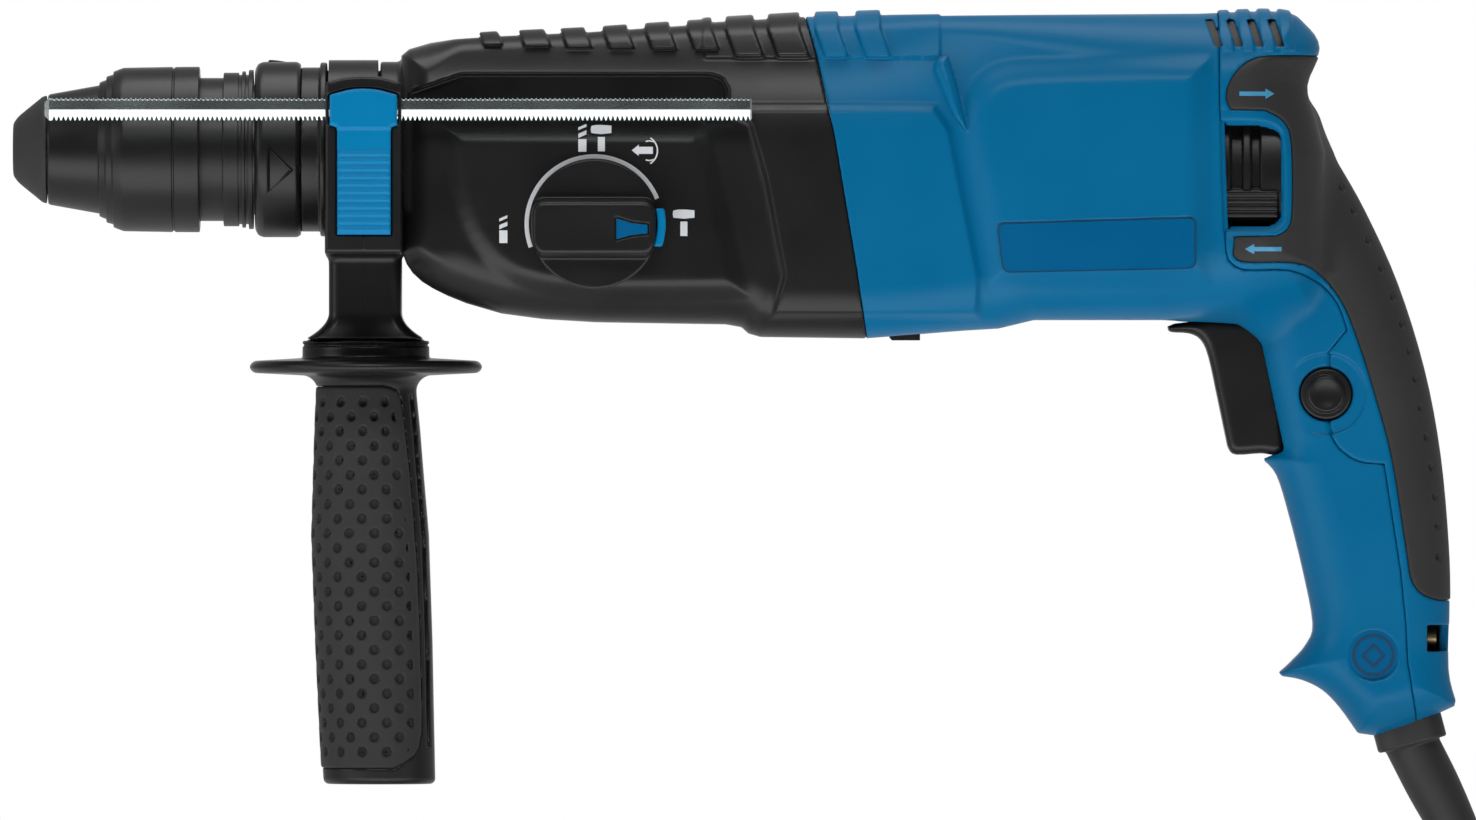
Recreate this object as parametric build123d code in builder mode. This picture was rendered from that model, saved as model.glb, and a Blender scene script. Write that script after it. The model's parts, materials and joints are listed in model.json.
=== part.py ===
from build123d import *

import os
from math import acos, cos, pi, radians, sin, tan

# Rotary hammer with a hanging side handle, in millimetres.
# The nose points along -X, the rear grip is at +X, +Z is up and the knob side is -Y.
# The origin is the middle of the rear hand grip.

os.makedirs("parts", exist_ok=True)

# ---------------------------------------------------------------- driving sizes
SPINDLE_Z = 80.0
MOTOR_Z = 72.0
LAYSHAFT_Z = 49.5

BARREL_R = 39.0
BARREL_BOTTOM = 26.2
BARREL_CORNER = 15.0
WALL = 2.6
SKIN = 1.4
GRIP_HALF = 17.0

NOSE_X = -377.0
NECK_FRONT_X = -295.2
SHANK_R = 5.0

TUBE_R = 15.5
CYLINDER_R = 13.0
PISTON_R = 12.95
RAM_BORE = 9.0

PINION_TEETH = 8
GEAR_TEETH = 37
LAY_PINION_TEETH = 13
SPINDLE_GEAR_TEETH = 48

WOBBLE_X = -192.0
WOBBLE_BALL_R = 10.5

KNOB_X = -215.2
KNOB_Z = 58.5
KNOB_R = 18.5

SIDE_X = -280.5
ROD_Y = -43.0
ROD_Z = 91.0
ROD_SIDE = 6.3

BUTTON_X = -7.2
BUTTON_Z = 10.3

BENCH_Z = -234.0
CORD_R = 4.0
COIL_X = -85.0
COIL_MEAN_R = 44.0
COIL_TURNS = 4
COIL_LAYERS = 2


# ---------------------------------------------------------------- drawing helpers
def across(x, z=SPINDLE_Z):
    """The plane across the tool at x, with its local axes along +Y and +Z."""
    return Plane(origin=(x, 0, z), x_dir=(0, 1, 0), z_dir=(1, 0, 0))


def drum(x_start, x_end, outer, inner=0.0, z=SPINDLE_Z, mode=Mode.ADD):
    """A plain drum or ring along X."""
    with BuildSketch(across(x_start, z)) as face:
        Circle(outer)
        if inner > 0:
            Circle(inner, mode=Mode.SUBTRACT)
    extrude(face.sketch, amount=x_end - x_start, mode=mode)


def turned(profile, z=SPINDLE_Z, mode=Mode.ADD):
    """A turned piece along X, from (x, radius) corners."""
    with BuildSketch(Plane.XZ) as face:
        with BuildLine():
            Polyline(*[(x, z + radius) for x, radius in profile], close=True)
        make_face()
    revolve(face.sketch, axis=Axis((0, 0, z), (1, 0, 0)), mode=mode)


def slab(outline, y_low, y_high, mode=Mode.ADD):
    """A flat slab whose (x, z) outline faces -Y."""
    with BuildSketch(Plane.XZ.offset(-y_high)) as face:
        with BuildLine():
            Polyline(*outline, close=True)
        make_face()
    extrude(face.sketch, amount=y_high - y_low, mode=mode)


def block(low, high, mode=Mode.ADD):
    """A plain box between two corners."""
    size = [top - bottom for bottom, top in zip(low, high)]
    middle = [(top + bottom) / 2 for bottom, top in zip(low, high)]
    with Locations(tuple(middle)):
        Box(*size, mode=mode)


def peg(x, z, radius, y_low, y_high, mode=Mode.ADD):
    """A round peg along Y."""
    with BuildSketch(Plane.XZ.offset(-y_high)) as face:
        with Locations((x, z)):
            Circle(radius)
    extrude(face.sketch, amount=y_high - y_low, mode=mode)


def post(x, y, radius, z_low, z_high, mode=Mode.ADD):
    """A round post along Z."""
    with BuildSketch(Plane.XY.offset(z_low)) as face:
        with Locations((x, y)):
            Circle(radius)
    extrude(face.sketch, amount=z_high - z_low, mode=mode)


def spring_wire(x_start, length, pitch, radius, wire_r, z=SPINDLE_Z):
    """A coil spring round an axis along X."""
    coil_line = Helix(pitch, length, radius, center=(x_start, 0, z), direction=(1, 0, 0), mode=Mode.PRIVATE)
    with BuildSketch(Plane(origin=coil_line @ 0, z_dir=coil_line % 0)) as section:
        Circle(wire_r)
    sweep(section.sketch, path=coil_line, is_frenet=True)


# ---------------------------------------------------------------- gear teeth
PRESSURE = radians(20)


def tooth_half_angle(teeth, radius, slack):
    """Half the angle of one module 1 involute tooth at a radius."""
    pitch_r = teeth / 2
    base_r = pitch_r * cos(PRESSURE)
    lean = acos(min(1.0, base_r / max(radius, base_r)))
    half = pi / (2 * teeth) - slack / (2 * pitch_r)
    return half + (tan(PRESSURE) - PRESSURE) - (tan(lean) - lean)


def gear_outline(teeth, root, tip, slack, start):
    """Corners of a spur gear's outline; start is the angle of its first tooth."""
    flank = [root + (tip - root) * step / 3 for step in range(4)]
    corners = []
    for tooth in range(teeth):
        middle = start + 2 * pi * tooth / teeth
        rising = [(r, middle - tooth_half_angle(teeth, r, slack)) for r in flank]
        falling = [(r, middle + tooth_half_angle(teeth, r, slack)) for r in reversed(flank)]
        corners += [(r * cos(a), r * sin(a)) for r, a in rising + falling]
    return corners


def gear(teeth, x_start, x_end, z, root, tip, start, slack=0.35, bore=0.0):
    """A spur gear along X with an optional plain bore."""
    with BuildSketch(across(x_start, z)) as face:
        with BuildLine():
            Polyline(*gear_outline(teeth, root, tip, slack, start), close=True)
        make_face()
        if bore > 0:
            Circle(bore, mode=Mode.SUBTRACT)
    extrude(face.sketch, amount=x_end - x_start)


UP = pi / 2
DOWN = -pi / 2

# ---------------------------------------------------------------- casing shape
SIDE_OUTLINE = [
    # the rounded back of the barrel comes first
    (-24, 119), (-13, 115.3), (-8.8, 108), (-12.6, 98), (-8, 84), (-1, 73),
    (-1, 40), (-20, 33), (-55, 31.5), (-90, 31.5), (-100, 29), (-110, 28.4), (-138, 26.2),
    (-170, 26.8), (-177, 30), (-215, 30.8), (-240, 33), (-252, 36.5), (-262, 42),
    (-270, 50), (-270, 108), (-262, 110.2), (-249, 111.8), (-155, 118), (-43, 118.2),
]
BACK_POINTS = 6

GRIP_SECTIONS = [
    # height, front edge, rear edge
    (74, -34, -1.2), (56, -32, 8), (36, -29.5, 16), (14, -25.5, 22), (-6, -21.3, 25.4), (-26, -17, 27.4),
    (-46, -12, 28.2), (-58, -11, 28.2), (-67, -17.5, 28.2), (-74, -22, 29), (-88, -24, 31),
]
GRIP_FOOT = [(-40, -70), (-20, -69.8), (-8, -74), (2, -86.5), (7, -87), (32, -77.8), (40, -110), (-40, -110)]


def drawn_in(outline, inset):
    """A closed outline's corners, each moved in by an inset from both of its edges."""
    moved = []
    for before, here, after in zip(outline[-1:] + outline[:-1], outline, outline[1:] + outline[:1]):
        into = Vector(here[0] - before[0], here[1] - before[1]).normalized()
        out = Vector(after[0] - here[0], after[1] - here[1]).normalized()
        normal = Vector(into.Y + out.Y, -into.X - out.X)
        reach = inset / (1 + into.dot(out))
        moved.append((here[0] + normal.X * reach, here[1] + normal.Y * reach))
    return moved


def barrel(inset):
    """The gearbox and motor barrel as one solid, drawn in by an inset."""
    outline = drawn_in(SIDE_OUTLINE, inset)
    with BuildPart() as solid:
        with BuildSketch(Plane.XZ) as side:
            with BuildLine():
                Spline(*outline[:BACK_POINTS])
                Polyline(*outline[BACK_POINTS - 1:], outline[0])
            make_face()
        extrude(side.sketch, amount=60, both=True)
        radius = BARREL_R - inset
        bottom = BARREL_BOTTOM - SPINDLE_Z - 2 + inset
        with BuildSketch(across(-300)) as end:
            Circle(radius)
            with Locations((0, bottom / 2)):
                Rectangle(2 * radius, -bottom)
            fillet(end.vertices().group_by(Axis.Z)[0], BARREL_CORNER)
        extrude(end.sketch, amount=320, mode=Mode.INTERSECT)
        with BuildSketch(Plane.XY) as plan:
            with BuildLine():
                Polyline((-42, radius), (-262, radius), (-270, radius - 9), (-290, radius - 9), (-290, 9 - radius),
                         (-270, 9 - radius), (-262, -radius), (-42, -radius))
                Spline((-42, -radius), (-17, 5 - radius), (2 - inset, 0), (-17, radius - 5), (-42, radius),
                       tangents=[(1, 0), (-1, 0)])
            make_face()
        extrude(plan.sketch, amount=130, mode=Mode.INTERSECT)
    return solid.part


def grip(inset):
    """The pistol grip as one lofted solid, drawn in by an inset."""
    with BuildPart() as solid:
        for height, front, rear in GRIP_SECTIONS:
            with BuildSketch(Plane.XY.offset(height)):
                with Locations(((front + rear) / 2, 0)):
                    RectangleRounded(rear - front - 2 * inset, 2 * (GRIP_HALF - inset), 11 - inset)
        loft(ruled=True)
        foot = [(x, z + inset) for x, z in GRIP_FOOT[:-2]] + GRIP_FOOT[-2:]
        slab(foot, -40, 40, mode=Mode.SUBTRACT)
    return solid.part


barrel_outer = barrel(0)
barrel_skin = barrel(SKIN)
barrel_inner = barrel(WALL)
grip_outer = grip(0)
grip_skin = grip(SKIN)
grip_inner = grip(WALL)

FRONT_SEAM = [(-155.5, 130), (-155.5, 118.3), (-152, 106), (-147, 83), (-141, 47), (-138, 27), (-138, 0)]
REAR_SEAM = [
    (-37.8, 130), (-37.8, 91), (-36.8, 60), (-36, 50), (-31, 45.5), (-18, 45.5), (-7, 40), (-3, 34),
    (-1, 28.5), (-6.5, 22), (-7, 3), (-4, -4.5), (0, -7.5), (9.3, -9.7), (12, -27), (14, -40),
    (15.5, -55), (16, -68), (20.5, -95),
]
SOFT_EDGE = [
    (-9, 106.2), (-24, 106.2), (-31, 104), (-35.5, 98), (-35.5, 92), (-22, 90.5), (-18, 86),
    (-17.3, 62), (-19, 56), (-34, 55), (-33, 48), (-17, 47.7), (-10, 45), (-3, 37), (2, 25),
    (7, 9), (11, -7), (16, -37), (19, -46), (24, -48.4), (40, -48.4), (40, 60), (0, 106.2),
]
FAR_FRONT = [(-320, 0), (-320, 130)]
FAR_REAR = [(60, -95), (60, 130)]
WINDOW = ((-36.3, 59.5), (-20.5, 85))

SCREW_SPOTS = [(-27, 99), (27, 99), (-26, 39), (26, 39)]
SCREW_HEAD_X = -204.0


def case_screw_holes(x_start, x_end, radius, mode=Mode.SUBTRACT):
    """The four long case screws' holes or bosses between two stations."""
    for y, z in SCREW_SPOTS:
        with BuildSketch(Plane(origin=(x_start, y, z), x_dir=(0, 1, 0), z_dir=(1, 0, 0))) as face:
            Circle(radius)
        extrude(face.sketch, amount=x_end - x_start, mode=mode)


# ---------------------------------------------------------------- gear housing
RIB_STARTS = [-248.5, -237, -225, -213, -201, -189, -178, -166, -153.5]
RIB_WIDTH = 7.0
RIB_HALF = 9.0

with BuildPart() as bosses:
    case_screw_holes(-268, -159, 5.6, mode=Mode.ADD)
    drum(-268, -250, 9.6, z=LAYSHAFT_Z)
    block((-222, -38, 62), (-209, 38, 110))
    drum(-222, -209, 20.4)
    drum(-225, -206, 11.8, z=LAYSHAFT_Z, mode=Mode.SUBTRACT)
    block((-225, -30, 40), (-206, -19.6, 69), mode=Mode.SUBTRACT)
    drum(-222, -216, 20, mode=Mode.SUBTRACT)
    drum(-216, -209, 19, mode=Mode.SUBTRACT)
    add(barrel_outer, mode=Mode.INTERSECT)

with BuildPart() as gear_housing:
    add(barrel_outer)
    for start in RIB_STARTS:
        slope = (start + 249) * 6.2 / 94
        slab([(start, 100), (start + RIB_WIDTH, 100), (start + RIB_WIDTH, 113.4 + slope),
              (start, 113.2 + slope)], -RIB_HALF, RIB_HALF)
    add(barrel_inner, mode=Mode.SUBTRACT)
    add(bosses.part)
    turned([(NECK_FRONT_X, 0), (NECK_FRONT_X, 23.2), (-293.5, 23.2), (-293.5, 24.8), (-291.5, 24.8), (-291.5, 22.4),
            (-276.5, 22.4), (-276, 25), (-264, 25), (-264, 0)])
    slab(FRONT_SEAM + FAR_FRONT, -60, 60, mode=Mode.INTERSECT)
    drum(NECK_FRONT_X, -291, 19, mode=Mode.SUBTRACT)
    drum(-291, -262, 18.5, mode=Mode.SUBTRACT)
    drum(-259, -249, 7, z=LAYSHAFT_Z, mode=Mode.SUBTRACT)
    peg(KNOB_X, KNOB_Z, 5.4, -45, -30, mode=Mode.SUBTRACT)
    case_screw_holes(-275, SCREW_HEAD_X, 4.1)
    case_screw_holes(-206, -150, 2.3)

# ---------------------------------------------------------------- motor housing
TRIGGER_SLOT = [(-53.5, 28), (-53.5, 35.5), (-13, 35.5), (-13, -6.8), (-23, -8.3), (-50, -8.3)]
TRIGGER_PIVOT = (-48, 29.5)

with BuildPart() as motor_housing:
    add(barrel_outer)
    add(grip_outer)
    add(barrel_inner, mode=Mode.SUBTRACT)
    add(grip_inner, mode=Mode.SUBTRACT)
    case_screw_holes(-147.5, -124, 4.6, mode=Mode.ADD)
    for side in (-1, 1):
        block((-140, side * 26 - 1.5, 29), (-124, side * 26 + 1.5, 37))
    drum(-39, -33, 28, z=MOTOR_Z)
    block((-39, -8, 33), (-33, 8, 116.5))
    slab(FRONT_SEAM + [(-138, -120), (60, -120), (60, 130)], -60, 60, mode=Mode.INTERSECT)
    slab(REAR_SEAM + FAR_REAR, -60, 60, mode=Mode.SUBTRACT)
    drum(-41, -30, 9.6, z=MOTOR_Z, mode=Mode.SUBTRACT)
    slab(TRIGGER_SLOT, -9.2, 9.2, mode=Mode.SUBTRACT)
    case_screw_holes(-160, -126, 2.3)
    peg(BUTTON_X, BUTTON_Z, 7.5, -30, -10, mode=Mode.SUBTRACT)

# ---------------------------------------------------------------- handle cover and its soft grip
BUTTON_RECESS_R = 10.5
BUTTON_RECESS_Y = -15.4

with BuildPart() as soft_grip:
    add(barrel_outer)
    add(grip_outer)
    add(barrel_skin, mode=Mode.SUBTRACT)
    add(grip_skin, mode=Mode.SUBTRACT)
    slab(SOFT_EDGE, -60, 60, mode=Mode.INTERSECT)

with BuildPart() as handle_cover:
    add(barrel_outer)
    add(grip_outer)
    add(barrel_inner, mode=Mode.SUBTRACT)
    add(grip_inner, mode=Mode.SUBTRACT)
    slab(REAR_SEAM + FAR_REAR, -60, 60, mode=Mode.INTERSECT)
    add(soft_grip.part, mode=Mode.SUBTRACT)
    block((WINDOW[0][0], -60, WINDOW[0][1]), (WINDOW[1][0], -20, WINDOW[1][1]), mode=Mode.SUBTRACT)
    peg(BUTTON_X, BUTTON_Z, 7.5, -30, -10, mode=Mode.SUBTRACT)
    for slot in range(4):
        start = -39 + 5.8 * slot
        slab([(start, 108.8), (start + 2.2, 108.8), (start - 0.4, 117), (start - 2.6, 117)],
             -60, 60, mode=Mode.SUBTRACT)
    block((21.4, -60, -63), (40, 60, -55.3), mode=Mode.SUBTRACT)
    post(17, 0, 6.2, -100, -70, mode=Mode.SUBTRACT)

with BuildPart() as button_recess:
    peg(BUTTON_X, BUTTON_Z, BUTTON_RECESS_R, -30, BUTTON_RECESS_Y)

for shell in (motor_housing, handle_cover):
    with shell:
        add(button_recess.part, mode=Mode.SUBTRACT)

# ---------------------------------------------------------------- flange and bearings
FLANGE_R = BARREL_R - WALL - 1.6

with BuildPart() as intermediate_flange:
    with BuildSketch(across(-157.5)) as plate:
        Circle(FLANGE_R)
        with Locations((0, -24)):
            Rectangle(2 * FLANGE_R, 48)
        fillet(plate.vertices().group_by(Axis.Z)[0], BARREL_CORNER)
    extrude(plate.sketch, amount=9.5)
    drum(-158, -149.5, 11, z=MOTOR_Z, mode=Mode.SUBTRACT)
    drum(-150, -140, 6, z=MOTOR_Z, mode=Mode.SUBTRACT)
    drum(-158, -150.5, 8.5, z=LAYSHAFT_Z, mode=Mode.SUBTRACT)
    case_screw_holes(-160, -140, 2.3)


def bearing(x_start, x_end, outer, inner, z):
    """A sealed ball bearing: two rings joined by a shield set in from the faces."""
    step = (outer - inner) / 4
    drum(x_start, x_end, outer, outer - step, z)
    drum(x_start, x_end, inner + step, inner, z)
    drum(x_start + 0.6, x_end - 0.6, outer - step, inner + step, z)


with BuildPart() as armature_bearings:
    bearing(-156.8, -149.8, 11, 4.03, MOTOR_Z)
    bearing(-38.5, -32.5, 9.5, 4.03, MOTOR_Z)

with BuildPart() as intermediate_bearings:
    bearing(-258.5, -249.5, 7, 4.03, LAYSHAFT_Z)
    bearing(-157, -150.8, 8.5, 4.03, LAYSHAFT_Z)

with BuildPart() as spindle_bearings:
    bearing(-287, -272, 18.5, TUBE_R + 0.04, SPINDLE_Z)
    bearing(-215.8, -209.2, 19, TUBE_R + 0.04, SPINDLE_Z)

with BuildPart() as spindle_seal:
    turned([(-295, TUBE_R + 0.25), (-295, 19), (-291.4, 19), (-291.4, 17.6), (-293.4, 17.6),
            (-293.4, TUBE_R + 0.25)])

# ---------------------------------------------------------------- motor
STACK = (-122, -78)

with BuildPart() as stator_core:
    drum(STACK[0], STACK[1], 29, 16.2, MOTOR_Z)
    for side in (-1, 1):
        block((-130, side * 9 - 6, MOTOR_Z - 23), (-70, side * 9 + 6, MOTOR_Z - 18.5), mode=Mode.SUBTRACT)
        block((-130, side * 9 - 6, MOTOR_Z + 18.5), (-70, side * 9 + 6, MOTOR_Z + 23), mode=Mode.SUBTRACT)

with BuildPart() as field_coils:
    for height in (MOTOR_Z - 20.75, MOTOR_Z + 20.75):
        for side in (-1, 1):
            block((-128, side * 9 - 5.6, height - 1.9), (-72, side * 9 + 5.6, height + 1.9))
        for x_start in (-128, -75):
            block((x_start, -14.6, height - 1.9), (x_start + 3, 14.6, height + 1.9))

with BuildPart() as armature_shaft:
    drum(-159.5, -20.5, 4, z=MOTOR_Z)
    gear(PINION_TEETH, -173.5, -159.5, MOTOR_Z, 2.75, 4.9, DOWN)

with BuildPart() as armature_core:
    drum(STACK[0], STACK[1], 15.6, 4, MOTOR_Z)
    for slot in range(12):
        angle = 2 * pi * slot / 12
        middle = (0, 14.9 * cos(angle), MOTOR_Z + 14.9 * sin(angle))
        with BuildSketch(Plane(origin=(STACK[0], middle[1], middle[2]), x_dir=(0, cos(angle), sin(angle)),
                               z_dir=(1, 0, 0))) as notch:
            Rectangle(3, 1.6)
        extrude(notch.sketch, amount=STACK[1] - STACK[0], mode=Mode.SUBTRACT)

with BuildPart() as armature_windings:
    turned([(-130, 5.5), (-130, 11), (-127, 13.6), (-122, 14.2), (-122, 4), (-130, 4)], MOTOR_Z)
    turned([(-78, 4), (-78, 14.2), (-73, 13.6), (-69, 11), (-69, 4)], MOTOR_Z)

with BuildPart() as commutator:
    drum(-64, -46, 11.5, 4, MOTOR_Z)
    drum(-66, -64, 12.6, 4, MOTOR_Z)
    for bar in range(24):
        angle = 2 * pi * bar / 24
        with BuildSketch(Plane(origin=(-64, 11.5 * cos(angle), MOTOR_Z + 11.5 * sin(angle)),
                               x_dir=(0, cos(angle), sin(angle)), z_dir=(1, 0, 0))) as gap:
            Rectangle(1.2, 0.5)
        extrude(gap.sketch, amount=18, mode=Mode.SUBTRACT)

with BuildPart() as fan:
    drum(-146, -144.6, 27, 4, MOTOR_Z)
    drum(-144.6, -134, 8, 4, MOTOR_Z)
    for blade in range(11):
        angle = 2 * pi * blade / 11
        with BuildSketch(Plane(origin=(-144.6, 17 * cos(angle), MOTOR_Z + 17 * sin(angle)),
                               x_dir=(0, cos(angle + 0.5), sin(angle + 0.5)), z_dir=(1, 0, 0))) as vane:
            Rectangle(18, 1.2)
        extrude(vane.sketch, amount=9)

# ---------------------------------------------------------------- brushes and direction lever
with BuildPart() as brush_plate:
    drum(-50, -46.8, 31, 12.8, MOTOR_Z)
    block((-50.5, -8, MOTOR_Z - 32), (-46, 8, MOTOR_Z - 27), mode=Mode.SUBTRACT)

with BuildPart() as brush_holders:
    for side in (-1, 1):
        block((-62, side * 19.5 - 7, MOTOR_Z - 4.2), (-50, side * 19.5 + 7, MOTOR_Z + 4.2))
        block((-60, side * 19.5 - 8, MOTOR_Z - 3.2), (-52, side * 19.5 + 8, MOTOR_Z + 3.2), mode=Mode.SUBTRACT)

with BuildPart() as carbon_brushes:
    for side in (-1, 1):
        block((-59.9, side * 18.6 - 6.9, MOTOR_Z - 3.1), (-52.1, side * 18.6 + 6.9, MOTOR_Z + 3.1))

LEVER_R = 32.0
with BuildPart() as direction_lever:
    with BuildSketch(across(-46.8, MOTOR_Z)) as ring_slice:
        with BuildLine():
            CenterArc((0, 0), LEVER_R, 138, 60)
            CenterArc((0, 0), LEVER_R - 2.4, 138, 60)
            for end_angle in (138, 198):
                spoke = (cos(radians(end_angle)), sin(radians(end_angle)))
                Line((LEVER_R * spoke[0], LEVER_R * spoke[1]),
                     ((LEVER_R - 2.4) * spoke[0], (LEVER_R - 2.4) * spoke[1]))
        make_face()
    extrude(ring_slice.sketch, amount=25.8)
    for start in (-34.2, -29.2):
        block((start, -40, 69), (start + 3, -24, 84.5), mode=Mode.SUBTRACT)
    block((-45, -40, 66), (-37.5, -20, 100), mode=Mode.SUBTRACT)

# ---------------------------------------------------------------- intermediate shaft and wobble drive
with BuildPart() as intermediate_shaft:
    drum(-259, -247.2, 4, z=LAYSHAFT_Z)
    gear(LAY_PINION_TEETH, -247.2, -230, LAYSHAFT_Z, 5.2, 7.35, UP)
    drum(-230, -159, 5, z=LAYSHAFT_Z)
    drum(-159, -150.5, 4, z=LAYSHAFT_Z)

with BuildPart() as intermediate_gear:
    gear(GEAR_TEETH, -171, -161, LAYSHAFT_Z, 17.35, 19.3, UP + pi / GEAR_TEETH, bore=5)

WOBBLE_TILT = radians(12)
BALL_TRACK_R = WOBBLE_BALL_R - 1.65
BALL_ANGLES = [2 * pi * ball / 12 for ball in range(12)]
BALL_SPOTS = [
    (WOBBLE_X - BALL_TRACK_R * cos(a) * sin(WOBBLE_TILT), BALL_TRACK_R * cos(a) * cos(WOBBLE_TILT),
     LAYSHAFT_Z + BALL_TRACK_R * sin(a)) for a in BALL_ANGLES
]

with BuildPart() as wobble_hub:
    with Locations((WOBBLE_X, 0, LAYSHAFT_Z)):
        Sphere(WOBBLE_BALL_R)
    drum(-203, WOBBLE_X - 9, 20, z=LAYSHAFT_Z, mode=Mode.SUBTRACT)
    drum(WOBBLE_X + 9, -181, 20, z=LAYSHAFT_Z, mode=Mode.SUBTRACT)
    drum(-203, -181, 5, z=LAYSHAFT_Z, mode=Mode.SUBTRACT)
    with Locations(*BALL_SPOTS):
        Sphere(1.56, mode=Mode.SUBTRACT)

with BuildPart() as wobble_balls:
    with Locations(*BALL_SPOTS):
        Sphere(1.5)

with BuildPart() as wobble_ring:
    drum(WOBBLE_X - 4.5, WOBBLE_X + 4.5, 14.5, z=LAYSHAFT_Z)
    post(WOBBLE_X, 0, 3, LAYSHAFT_Z + 13, SPINDLE_Z + 6.5)
    with Locations((WOBBLE_X, 0, LAYSHAFT_Z)):
        Sphere(WOBBLE_BALL_R + 0.3, mode=Mode.SUBTRACT)

with BuildPart() as clutch_sleeve:
    turned([(-218, 5.05), (-218, 9), (-213.6, 9), (-213.6, 7.2), (-210.4, 7.2), (-210.4, 9),
            (-206, 9), (-206, 5.05)], LAYSHAFT_Z)

# ---------------------------------------------------------------- spindle and hammer
with BuildPart() as spindle_tube:
    turned([(-345, 0), (-345, 12.5), (-300, 12.5), (-300, TUBE_R), (-247, TUBE_R), (-247, 19),
            (-244.5, 19), (-244.5, TUBE_R), (-218.6, TUBE_R), (-218.6, 18.5), (-217, 18.5),
            (-217, TUBE_R), (-207, TUBE_R), (-207, 0)])
    turned([(-346, 0), (-346, SHANK_R + 0.05), (-308, SHANK_R + 0.05), (-308, 6.05), (-290, 6.05),
            (-290, 9.3), (-262, 9.3), (-262, 11), (-258, CYLINDER_R), (-206, CYLINDER_R), (-206, 0)],
           mode=Mode.SUBTRACT)

with BuildPart() as spindle_gear:
    gear(SPINDLE_GEAR_TEETH, -244.5, -233, SPINDLE_Z, 22.9, 24.8, DOWN + pi / SPINDLE_GEAR_TEETH,
         bore=TUBE_R)

with BuildPart() as clutch_spring:
    spring_wire(-231.6, 11.6, 4.0, 17.4, 0.9)

with BuildPart() as piston:
    drum(-244, -183, PISTON_R)
    drum(-245, -208, RAM_BORE, mode=Mode.SUBTRACT)
    block((-202, -6, 60), (-180, 6, 100), mode=Mode.SUBTRACT)
    peg(WOBBLE_X, SPINDLE_Z, 3.56, -20, 20, mode=Mode.SUBTRACT)

with BuildPart() as trunnion:
    peg(WOBBLE_X, SPINDLE_Z, 3.5, -11, 11)
    peg(WOBBLE_X, SPINDLE_Z, 5.5, -5.7, 5.7)
    post(WOBBLE_X, 0, 3.12, 70, 90, mode=Mode.SUBTRACT)

with BuildPart() as striker:
    turned([(-241, 0), (-241, 6.5), (-239, 8.95), (-231, 8.95), (-231, 8), (-228.4, 8), (-228.4, 8.95),
            (-222, 8.95), (-221, 8), (-221, 0)])

with BuildPart() as impact_bolt:
    turned([(-304, 0), (-304, 4.6), (-302.6, 6), (-286.5, 6), (-284, 9), (-277, 9), (-277, 8), (-274.5, 8),
            (-274.5, 9), (-269, 9), (-267, 6), (-255, 6), (-254, 5), (-254, 0)])

# ---------------------------------------------------------------- quick-change chuck
with BuildPart() as chuck_body:
    turned([(NOSE_X, 0), (NOSE_X, 9.6), (-352, 12.5), (-343.5, 13), (-339.6, 16), (-314, 16), (-314, 18.6), (-302, 18.6),
            (-302, 0)])
    drum(-380, -345, SHANK_R, mode=Mode.SUBTRACT)
    drum(-345, -300, 12.53, mode=Mode.SUBTRACT)
    for side in (-1, 1):
        post(-356, 0, 2.6, SPINDLE_Z + side * 9 - 5.5, SPINDLE_Z + side * 9 + 5.5, mode=Mode.SUBTRACT)

with BuildPart() as locking_balls:
    for side in (-1, 1):
        with Locations((-356, 0, SPINDLE_Z + side * 8)):
            Sphere(2.5)

with BuildPart() as dust_cap:
    turned([(-381, 7.6), (-380.2, 9.2), (-371.4, 15.4), (-371.4, 10.35), (NOSE_X, 9.7), (NOSE_X, 5.6),
            (-381, 5.6)])

with BuildPart() as locking_sleeve:
    turned([(-371, 15.6), (-369.5, 16.1), (-356, 18.5), (-356, 19.3), (-354, 20.3), (-354, 21), (-352, 21.6),
            (-352, 22.3), (-349, 23.3), (-335.5, 23.4), (-335.5, 22.9), (-334.5, 22.9), (-334.5, 23.5),
            (-327.5, 23.6), (-327.5, 21), (-346, 21), (-346, 16.4), (-350, 16.4), (-350, 14.2), (-371, 14.2)])

with BuildPart() as sleeve_spring:
    spring_wire(-345, 12.6, 4.4, 18.4, 0.8)

with BuildPart() as chuck_cover:
    turned([(-331, 20.4), (-321, 20.4), (-321, 22), (-316.5, 22), (-316.5, 21.4),
            (-315.6, 21.4), (-315.6, 22.4), (-314.6, 22.4), (-314.6, 21.4), (-313.7, 21.4), (-313.7, 22.8),
            (-312.4, 22.8), (-312.4, 18.7), (-314.1, 18.7), (-314.1, 16), (-331, 16)])

with BuildPart() as changer_ring:
    turned([(-312, 22.9), (-311, 24.6), (-309.5, 25), (-300, 25), (-299, 24.4), (-299, 23.6), (-309.6, 23.6),
            (-309.6, 18.8), (-312, 18.8)])

# ---------------------------------------------------------------- mode selector
PIN_OFFSET = 3.7

with BuildPart() as mode_knob:
    peg(KNOB_X, KNOB_Z, KNOB_R, -43.2, -39.6)
    with BuildSketch(Plane.XZ.offset(43.2)) as bar:
        with Locations((KNOB_X, KNOB_Z - 1)):
            RectangleRounded(34.5, 14.5, 4)
    extrude(bar.sketch, amount=6)
    peg(KNOB_X, KNOB_Z, 5, -40, -28.6)
    peg(KNOB_X + PIN_OFFSET, KNOB_Z, 1.3, -29, -25.4)
    slab([(-209.4, 53.6), (-199.4, 57.4), (-209.4, 61.4)], -49.3, -48.2, mode=Mode.SUBTRACT)

with BuildPart() as knob_pointer:
    slab([(-209.2, 53.9), (-200, 57.4), (-209.2, 61.1)], -49.2, -48.3)
    slab([(-197.7, 52.5), (-195, 53.5), (-195, 61.8), (-197.7, 62.8)], -47.2, -43.3)

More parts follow.
